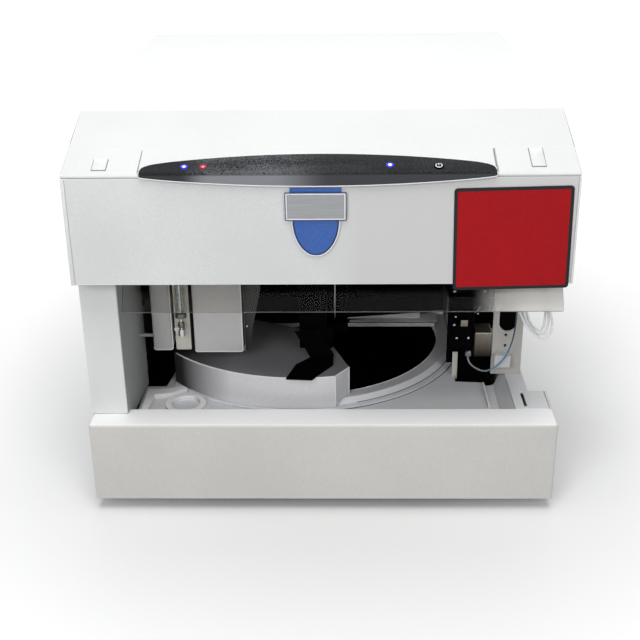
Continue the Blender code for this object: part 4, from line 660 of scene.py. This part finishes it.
# A painted highlight along the bracket's sloping edge
bead("bracket_edge_highlight", [(0.1480, back(0.1248), 0.1450), (0.1552, back(0.1248), 0.1535)], 0.0003,
     painted_edge_highlight)
slab("bracket_strip", (0.1292, back(0.1212), 0.0755), (0.1345, back(0.1227), 0.1060),
     bracket_abs)

# Tubing plate: folded sheet with a slot, painted warm grey. It holds a white sensor block and
# the union of the blue grey capillary that hangs across from the valve.
# Steel sheet, painted warm grey: thin paint with a slight orange peel
plate_paint = moulded("steel sheet, painted warm grey", "#B8B6B2", "#ACAAA6", 0.46, 0.4)
# ABS, moulded pale grey, a little lighter than the plate
block_abs = moulded("pale grey ABS, moulded block", "#D0D0D0", "#C7C7C7", 0.40)
finish(plate_paint, 0.0003, "tubing_plate")
finish(block_abs, 0.0003, "sensor_block")
# Polyetheretherketone tube, extruded: grey at the nut, blue in the bend, darker up the plate
capillary_tube = moulded("polyetheretherketone tube, extruded", "#8F9A9E", "#7F8B90", 0.32, 0.5,
                         0.0008, 0.1)
finish(capillary_tube, 0.0, "capillary")
overlay(capillary_tube, "Object", "X", 0.158, 0.172, "#4F8DB6")
overlay(capillary_tube, "Object", "X", 0.175, 0.185, "#1D3746")
# A black foam pad behind the plate shows through its slot and holes
slab("plate_pad", (0.168, back(0.1038), 0.118), (0.193, back(0.1058), 0.172), matt_black)

# Tube manifold: a moulded block hooked under the fascia's right end, with a tube port at each
# end of every loop.
finish(pale_abs, 0.0006, "tube_manifold")

# Upper fascia: the wide front moulding above the opening, with painted highlights down both
# sides and along its lower lip.
finish(pale_abs, 0.0016, "upper_fascia")
fascia_low, fascia_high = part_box("upper_fascia")
highlight_thickness = 0.0012
# Painted highlights: pale strips down both sides and a pale bead along the lower lip
for highlight_name, highlight_left, highlight_right in (
        ("fascia_highlight_left", fascia_low.x, fascia_low.x + 0.0034),
        ("fascia_highlight_right", fascia_high.x - 0.0018, fascia_high.x)):
    slab(highlight_name, (highlight_left, back(-highlight_thickness), fascia_low.z),
         (highlight_right, back(-contact_gap / 2), fascia_high.z), painted_edge_highlight, edge=0.0005)
bead("fascia_lip_highlight", [(x, back(0.0004), fascia_low.z + 0.0003)
                    for x in (fascia_low.x + 0.003, fascia_high.x - 0.003)], 0.0005, painted_edge_highlight)


# Badge and notice card: an enamelled blue tongue carries a brushed plate with a printed line
# round it and a dark border of painted shadow, and a red card is stuck on the right. Both are
# bare.
def rounded_sheet(name, low, high, y, thickness, radius, material, width=None, lean=0.0):
    """A flat sheet facing the front with rounded corners, or a border of it."""
    shape = bmesh.new()
    stand = Matrix.Translation(((low[0] + high[0]) / 2, y, (low[1] + high[1]) / 2)
                               ) @ Matrix.Rotation(lean, 4, "Y")
    bmesh.ops.create_grid(shape, x_segments=1, y_segments=1, size=0.5, matrix=(
        stand @ Matrix.Rotation(pi / 2, 4, "X")
        @ Matrix.Diagonal((high[0] - low[0], high[1] - low[1], 1, 1))))
    bmesh.ops.bevel(shape, geom=shape.verts[:], offset=radius, offset_type="OFFSET", segments=6,
                    profile=0.5, affect="VERTICES", material=-1)
    if width:
        middle = shape.faces[:]
        bmesh.ops.inset_region(shape, faces=middle, thickness=width, use_boundary=True,
                               use_even_offset=True)
        bmesh.ops.delete(shape, geom=middle, context="FACES_ONLY")
    raised = bmesh.ops.extrude_face_region(shape, geom=shape.faces[:])
    moved = [item for item in raised["geom"] if isinstance(item, bmesh.types.BMVert)]
    bmesh.ops.translate(shape, verts=moved, vec=(0, -thickness, 0))
    return piece(name, shape, material)


# Vitreous enamel, fired: smooth mid blue with a soft gloss
blue_enamel = moulded("blue enamel, fired", "#3A67B4", "#3059A4", 0.34, 0.4, 0.0020, 0.1)
dark_enamel_and_shadow = moulded("dark blue enamel and painted shadow", "#10275E", "#0D2150", 0.36, 0.4, 0.0020, 0.1)
white_enamel = moulded("white enamel, fired", "#F0F1F3", "#E6E8EC", 0.36, 0.4, 0.0020, 0.1)
# Aluminium, brushed along its length: fine level lines, drawn coarse enough to show
brushed_plate = brushed("aluminium plate, brushed", "#949698", "#7A7C7E", 0.40, (0.04, 1, 1),
                        0.0012)
finish(blue_enamel, 0.0002, "badge_tongue")
finish(brushed_plate, 0.0003, "badge_plate")
tongue_low, tongue_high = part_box("badge_tongue")
plate_low, plate_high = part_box("badge_plate")
tongue_middle = (tongue_low.x + tongue_high.x) / 2
tongue_half = (tongue_high.x - tongue_low.x) / 2 * 0.94
tongue_drop = plate_low.z - tongue_low.z
for line_name, line_inset, line_radius, line_enamel in (
        ("tongue_edge", 0.0012, 0.0006, dark_enamel_and_shadow),
        ("tongue_line", 0.0001, 0.00065, white_enamel)):
    bead(line_name, [(tongue_middle - (tongue_half - line_inset) * cos(pi * i / 24),
                      tongue_low.y - 0.0001,
                      plate_low.z - (tongue_drop - line_inset) * sin(pi * i / 24))
                     for i in range(25)], line_radius, line_enamel)
# The dark border round the plate is painted shadow; the white line inside it is print
for line_name, line_inset, line_width, line_enamel, rise in (
        ("plate_shadow_edge", 0.0, 0.0007, dark_enamel_and_shadow, 0.0002),
        ("plate_line", 0.0008, 0.0009, white_enamel, 0.0003)):
    rounded_sheet(line_name, (plate_low.x + line_inset, plate_low.z + line_inset),
                  (plate_high.x - line_inset, plate_high.z - line_inset), plate_low.y, rise,
                  0.0006, line_enamel, line_width)
# Card, laminated and printed: dense red with a soft sheen, black round its edge
red_print = moulded("red ink on laminated card", "#A60A14", "#9B0811", 0.60, 0.2, 0.0030, 0.1)
card_low, card_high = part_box("notice_card")
card_thickness = card_high.y - card_low.y
# It was stuck on by hand, a degree out of true
card_lean = radians(-1.2)
card_left, card_right, card_foot, card_top = 0.1116, 0.2096, 0.2245, 0.3145
card_base = rounded_sheet("card_base", (card_left, card_foot), (card_right, card_top),
                          card_high.y, card_thickness, 0.0030, printed_black, lean=card_lean)
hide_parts("notice_card")
card_border = 0.0028
rounded_sheet("card_print", (card_left + card_border, card_foot + card_border),
              (card_right - card_border, card_top - card_border), card_low.y, 0.00015,
              0.0012, red_print, lean=card_lean)

# Top cover: one white moulding with a sloping brow. Two sprung tabs at its front corners hold
# it down, each parted from the brow by a fine groove, and a parting line runs behind each ear.
# ABS, moulded white: smooth and bright
white_brow = moulded("white ABS, moulded brow", "#DCDDDD", "#D5D6D6", 0.40, 0.4)
# The shadow in a moulding's groove
groove_shade = moulded("ABS in the depth of a groove", "#8A8C8E", "#7C7E80", 0.75, 0.2)
finish(white_brow, 0.0010, "top_cover")
# The flat roof is painted whiter than the brow, as painted light from above
overlay(white_brow, "Normal", "Z", 0.95, 0.995, "#F6F7F7")
brow_run, brow_foot, roof_crown = 0.090, 0.0023, 0.002
brow_low = fascia_high.z + brow_foot
brow_rise = cad_high.z - roof_crown - brow_low
brow_slope = atan2(brow_rise, brow_run)
brow_normal = Vector((0, -sin(brow_slope), cos(brow_slope)))


def on_brow(x, distance, height):
    """A place above the brow's surface, measured square to it."""
    return Vector((x, back(distance), brow_low + brow_rise * distance / brow_run)
                  ) + brow_normal * height


ear_rise = 0.0012
tab_thickness = 0.0005
groove_radius = 0.0005
for tab_name, tab_left, tab_right, tab_front, tab_back in (
        ("latch_tab_left", -0.1884, -0.1766, 0.0060, 0.0200),
        ("latch_tab_right", 0.1744, 0.1858, 0.0080, 0.0320)):
    tab_middle = on_brow((tab_left + tab_right) / 2, (tab_front + tab_back) / 2, ear_rise)
    lie = Matrix.Translation(tab_middle) @ Matrix.Rotation(brow_slope, 4, "X")
    half_length = (tab_back - tab_front) / 2 / cos(brow_slope)
    slab(tab_name, ((tab_left - tab_right) / 2, -half_length, -tab_thickness),
         ((tab_right - tab_left) / 2, half_length, tab_thickness), white_brow, place=lie)
    bead(tab_name + "_groove",
         [on_brow(tab_left, tab_back, ear_rise), on_brow(tab_left, tab_front, ear_rise),
          on_brow(tab_right, tab_front, ear_rise), on_brow(tab_right, tab_back, ear_rise)],
         groove_radius, groove_shade)
for seam_name, seam_x, seam_back in (("ear_seam_left", -0.1503, 0.0325),
                                     ("ear_seam_right", 0.1455, 0.0330)):
    bead(seam_name, [on_brow(seam_x, 0.004, 0.0004), on_brow(seam_x, seam_back, 0.0004)],
         groove_radius, groove_shade)

# Status bar: a black moulding over the brow's front edge, outlined by a thin pale bead of
# painted highlight. It holds three lit lamps, one dark lamp and a round power button.
# Black ABS with a coarse leather skin, its greyish flecks painted in as painted highlights
leather_black, add = new_material("black ABS, leather skin")
bar_place = add("ShaderNodeTexCoord").outputs["Object"]
fleck_size, smear_size = 0.0010, 0.012
flecks = add("ShaderNodeTexNoise", {"Vector": bar_place, "Scale": 1 / fleck_size})
smears_place = add("ShaderNodeMapping", {"Vector": bar_place, "Scale": (0.15, 1, 1)})
smears = add("ShaderNodeTexNoise",
             {"Vector": smears_place, "Scale": 1 / smear_size, "Detail": 3.0})
fleck_share = add("ShaderNodeMix", {0: 0.35, 2: flecks, 3: smears})
fleck_spread = add("ShaderNodeMapRange",
                   {"Value": fleck_share, "From Min": 0.44, "From Max": 0.60})
# Painted sheen: the skin is painted grey along the lip and left of the middle, and fades to black
# at the ends
bar_parts = add("ShaderNodeSeparateXYZ", {"Vector": bar_place})
sheen_rise = add("ShaderNodeMapRange",
             {"Value": bar_parts.outputs["X"], "From Min": -0.115, "From Max": -0.090,
              "To Min": 0.15}, interpolation_type="SMOOTHSTEP")
sheen_fall = add("ShaderNodeMapRange",
               {"Value": bar_parts.outputs["X"], "From Min": -0.040, "From Max": 0.010,
                "To Min": 1.0, "To Max": 0.22}, interpolation_type="SMOOTHSTEP")
painted_sheen = add("ShaderNodeMath", {0: sheen_rise, 1: sheen_fall}, operation="MULTIPLY")
bar_normal = add("ShaderNodeTexCoord").outputs["Normal"]
bar_facing = add("ShaderNodeSeparateXYZ", {"Vector": bar_normal})
lip = add("ShaderNodeMapRange",
          {"Value": bar_facing.outputs["Z"], "From Min": 0.55, "From Max": 0.10})
fleck_depth = add("ShaderNodeMath", {0: fleck_spread, 1: 0.5}, operation="MULTIPLY")
greyed = add("ShaderNodeMath", {0: fleck_depth, 1: lip}, operation="MAXIMUM")
bar_share = add("ShaderNodeMath", {0: greyed, 1: painted_sheen}, operation="MULTIPLY")
bar_tint = add("ShaderNodeMix",
               {0: bar_share, 6: linear("#060708"), 7: linear("#84878C")},
               data_type="RGBA").outputs[2]
bar_rough = add("ShaderNodeMapRange", {"Value": smears, "To Min": 0.42, "To Max": 0.60})
bar_bump = add("ShaderNodeBump", {"Height": flecks, "Strength": 0.35, "Distance": 0.0001})
bar_shader = add("ShaderNodeBsdfPrincipled",
                 {"Base Color": bar_tint, "Roughness": bar_rough,
                  "Normal": bar_bump, "Specular IOR Level": 0.10})
add("ShaderNodeOutputMaterial", {"Surface": bar_shader})
finish(leather_black, 0.0, "status_bar")
bar_low, bar_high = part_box("status_bar")
bar_spans = 32
lower_line, upper_line = [], []
for i in range(bar_spans + 1):
    share = sin(pi / 2 * (2 * i / bar_spans - 1))
    x = (bar_low.x + bar_high.x + share * (bar_high.x - bar_low.x)) / 2
    column = [vertex.co for vertex in frame["nodes"]["status_bar"].data.vertices
              if abs(vertex.co.x - x) < 0.00005]
    lower_line.append(min(column, key=lambda point: (round(point.y, 4), point.z)))
    upper_line.append(max(column, key=lambda point: point.z + point.y))
# Painted highlight: a pale bead round the bar's outline
bar_highlight_radius = 0.0005
bead("bar_highlight", [point + Vector((0, 0, -bar_highlight_radius * 0.6)) for point in lower_line]
     + [point + Vector((0, bar_highlight_radius, 0)) for point in reversed(upper_line)],
     bar_highlight_radius, painted_edge_highlight, closed=True)


# Lamps: light-emitting diodes behind flanged lenses of clear acrylic, pushed in from behind.
# A lit one is white in the middle and throws its colour over the flange.
def lens(name, stops, strength, centre, radius):
    """Acrylic lit from behind: colours outwards from the middle, as (share, colour) pairs."""
    material, add = new_material(name)
    place = add("ShaderNodeTexCoord").outputs["Object"]
    reach = add("ShaderNodeVectorMath", {0: place, 1: centre},
                operation="DISTANCE").outputs["Value"]
    share = add("ShaderNodeMapRange", {"Value": reach, "From Max": radius})
    ramp = add("ShaderNodeValToRGB", {"Fac": share})
    while len(ramp.color_ramp.elements) < len(stops):
        ramp.color_ramp.elements.new(0.5)
    for element, (position, colour) in zip(ramp.color_ramp.elements, stops):
        element.position = position
        element.color = linear(colour)
    shader = add("ShaderNodeBsdfPrincipled",
                 {"Base Color": linear("#101114"), "Roughness": 0.25,
                  "Specular IOR Level": 0.2, "Emission Color": ramp,
                  "Emission Strength": strength})
    add("ShaderNodeOutputMaterial", {"Surface": shader})
    return material


blue_stops = ((0.0, "#FFFFFF"), (0.34, "#F0F2FF"), (0.48, "#3A44FF"), (0.72, "#1A1AE0"),
              (1.0, "#08081A"))
red_stops = ((0.0, "#FFD0D8"), (0.26, "#F0808F"), (0.46, "#D81838"), (0.72, "#A00C26"),
             (1.0, "#12070A"))
dark_stops = ((0.0, "#1A1B1E"), (0.5, "#131417"), (1.0, "#0C0D0F"))
flange_radius, lamp_rise = 0.0036, 0.0014
for node_name, stops, strength in (
        ("lamp_link", blue_stops, 1.4), ("lamp_alarm", red_stops, 1.1),
        ("lamp_motion", dark_stops, 0.3), ("lamp_temperature", blue_stops, 2.0)):
    lamp_low, lamp_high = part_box(node_name)
    lamp_middle = (lamp_low + lamp_high) / 2 + brow_normal * lamp_rise
    lamp_lens = lens(node_name + " acrylic lens", stops, strength, lamp_middle, flange_radius)
    finish(lamp_lens, 0.0002, node_name)
    lamp_radius = (lamp_high.x - lamp_low.x) / 2 + 0.0001
    turned(node_name + "_flange",
           [(lamp_radius, -0.0006), (flange_radius, -0.0006), (flange_radius, -0.0002),
            (flange_radius - 0.0006, 0.0002), (lamp_radius, 0.0003), (lamp_radius, -0.0006)],
           lamp_middle, brow_normal, lamp_lens, sides=28)

# Power button: a moulded black push button, with the power sign printed white on its face.
finish(black_abs, 0.0003, "power_button")
white_ink = moulded("white ink, pad printed", "#F2F3F3", "#E6E7E7", 0.45, 0.3)
button_low, button_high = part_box("power_button")
face_rise, sign_line = 0.0012, 0.00045
button_face = (button_low + button_high) / 2 + brow_normal * face_rise
face_turn = Matrix.Rotation(brow_slope, 4, "X")
sign_radius = 0.0026
bead("power_ring", [button_face + face_turn @ Vector((sin(turn), cos(turn), 0)) * sign_radius
                    for turn in (radians(30 + 300 * i / 24) for i in range(25))],
     sign_line, white_ink, body="button")
bead("power_stroke", [button_face + face_turn @ Vector((0, height, 0))
                      for height in (0.0002, 0.0030)], sign_line, white_ink, body="button")

# Window: a smoked acrylic pane on two black arms that swing it up under the top cover. Its cut
# lower edge carries a pale line of painted highlight.
# Acrylic sheet, smoked: clear but dim, with fine wiping scratches along its width. Its gloss
# is worn low, and its right end is hazed until nothing behind it can be made out.
smoked_acrylic = clear("acrylic sheet, smoked", "#EBE9E6", "#E0DEDA", 0.008, (0.02, 0.07), 1.16,
                       1.0, (0.2, 1, 1), 0.15)
add = partial(add_node, smoked_acrylic)
pane_place = add("ShaderNodeTexCoord").outputs["Object"]
pane_parts = add("ShaderNodeSeparateXYZ", {"Vector": pane_place})
haze = add("ShaderNodeMapRange",
           {"Value": pane_parts.outputs["X"], "From Min": 0.130, "From Max": 0.180,
            "To Min": 1.0, "To Max": 0.30}, interpolation_type="SMOOTHSTEP")
pane_tree = smoked_acrylic.node_tree
pane_tree.links.new(haze.outputs[0],
                    pane_tree.nodes["Principled BSDF"].inputs["Transmission Weight"])
finish(smoked_acrylic, 0.0006, "window_pane")
finish(black_paint, 0.0004, "window_arm_left", "window_arm_right")
pane_low, pane_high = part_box("window_pane")
# Painted highlight: a pale line along the cut acrylic edge
painted_pane_highlight = moulded("acrylic edge, painted highlight", "#8A8C8E", "#78797B", 0.20, 0.4)
pane_foot = [v.co for v in frame["nodes"]["window_pane"].data.vertices
             if v.co.z < pane_low.z + 0.0001]
bead("pane_edge_highlight", [(x, pane_foot[0].y, pane_low.z + 0.0003)
                         for x in (pane_low.x + 0.0006, pane_high.x - 0.0006)], 0.00045,
     painted_pane_highlight, body="window")

# Floor: a pale floor that runs to the horizon. It is seen paler the further it lies from the
# case, so that it meets the pale sky, and it still takes the case's soft shadow.
def as_seen(owner, lit, seen):
    """One shader for bounced light, another for what the camera, gloss and panes see."""
    rays = add_node(owner, "ShaderNodeLightPath").outputs
    mirrored = add_node(owner, "ShaderNodeMath",
                        {0: rays["Is Glossy Ray"], 1: rays["Is Transmission Ray"]},
                        operation="MAXIMUM")
    direct = add_node(owner, "ShaderNodeMath", {0: rays["Is Camera Ray"], 1: mirrored},
                      operation="MAXIMUM")
    return add_node(owner, "ShaderNodeMixShader", {0: direct, 1: lit, 2: seen})


# Painted boards: they bounce a mid grey, and look dark near the case and pale further off
pale_floor, add = new_material("painted studio floor")
floor_place = add("ShaderNodeTexCoord").outputs["Object"]
glow_centre, glow_start, glow_end = (0, -0.15, 0), 0.13, 1.40
floor_reach = add("ShaderNodeVectorMath",
                  {0: floor_place, 1: glow_centre}, operation="DISTANCE").outputs["Value"]
floor_share = add("ShaderNodeMapRange",
                  {"Value": floor_reach, "From Min": glow_start, "From Max": glow_end})
floor_glow = add("ShaderNodeMix",
                 {0: floor_share, 6: (0.01, 0.01, 0.01, 1), 7: (0.93, 0.93, 0.93, 1)},
                 data_type="RGBA").outputs[2]
floor_shine = add("ShaderNodeEmission", {"Color": floor_glow})
floor_matte = add("ShaderNodeBsdfDiffuse", {"Color": (0.80, 0.80, 0.80, 1)})
floor_seen = add("ShaderNodeAddShader", {0: floor_shine, 1: floor_matte})
floor_plain = add("ShaderNodeBsdfDiffuse", {"Color": (0.45, 0.45, 0.45, 1)})
add("ShaderNodeOutputMaterial", {"Surface": as_seen(pale_floor, floor_plain, floor_seen)})
floor_shape = bmesh.new()
bmesh.ops.create_circle(floor_shape, cap_ends=True, segments=96, radius=14.0)
floor_mesh = bpy.data.meshes.new("floor")
floor_shape.to_mesh(floor_mesh)
floor_shape.free()
floor_mesh.materials.append(pale_floor)
floor = bpy.data.objects.new("floor", floor_mesh)
scene_objects.link(floor)

# Light: a grey sky, wide softboxes above the case, ahead of it and behind, and one on each
# side in front at about twice the camera's height.
world = bpy.data.worlds.new("studio")
world.use_nodes = True
world.node_tree.nodes.clear()
sky = add_node(world, "ShaderNodeBackground", {"Color": (0.95, 0.96, 0.97, 1), "Strength": 0.23})
seen_sky = add_node(world, "ShaderNodeBackground", {"Color": (0.97, 0.97, 0.97, 1)})
add_node(world, "ShaderNodeOutputWorld", {"Surface": as_seen(world, sky, seen_sky)})
bpy.context.scene.world = world
for light_name, place, aim, size, power in (
        ("overhead softbox", (0.0, -0.85, 2.15), (0, -0.05, 0.15), 1.4, 23.5),
        ("rear overhead softbox", (0.0, 0.70, 2.10), (0, 0.0, 0.15), 1.4, 11),
        ("left front softbox", (-1.00, -2.05, 1.15), (0, 0, 0.12), 0.9, 18),
        ("right front softbox", (1.00, -2.05, 1.15), (0, 0, 0.12), 0.9, 10)):
    light = bpy.data.lights.new(light_name, "AREA")
    light.size = size
    light.energy = power
    softbox = bpy.data.objects.new(light_name, light)
    scene_objects.link(softbox)
    softbox.location = place
    softbox.rotation_euler = (Vector(aim) - Vector(place)).to_track_quat("-Z", "Y").to_euler()
bpy.context.scene.view_settings.view_transform = "Standard"
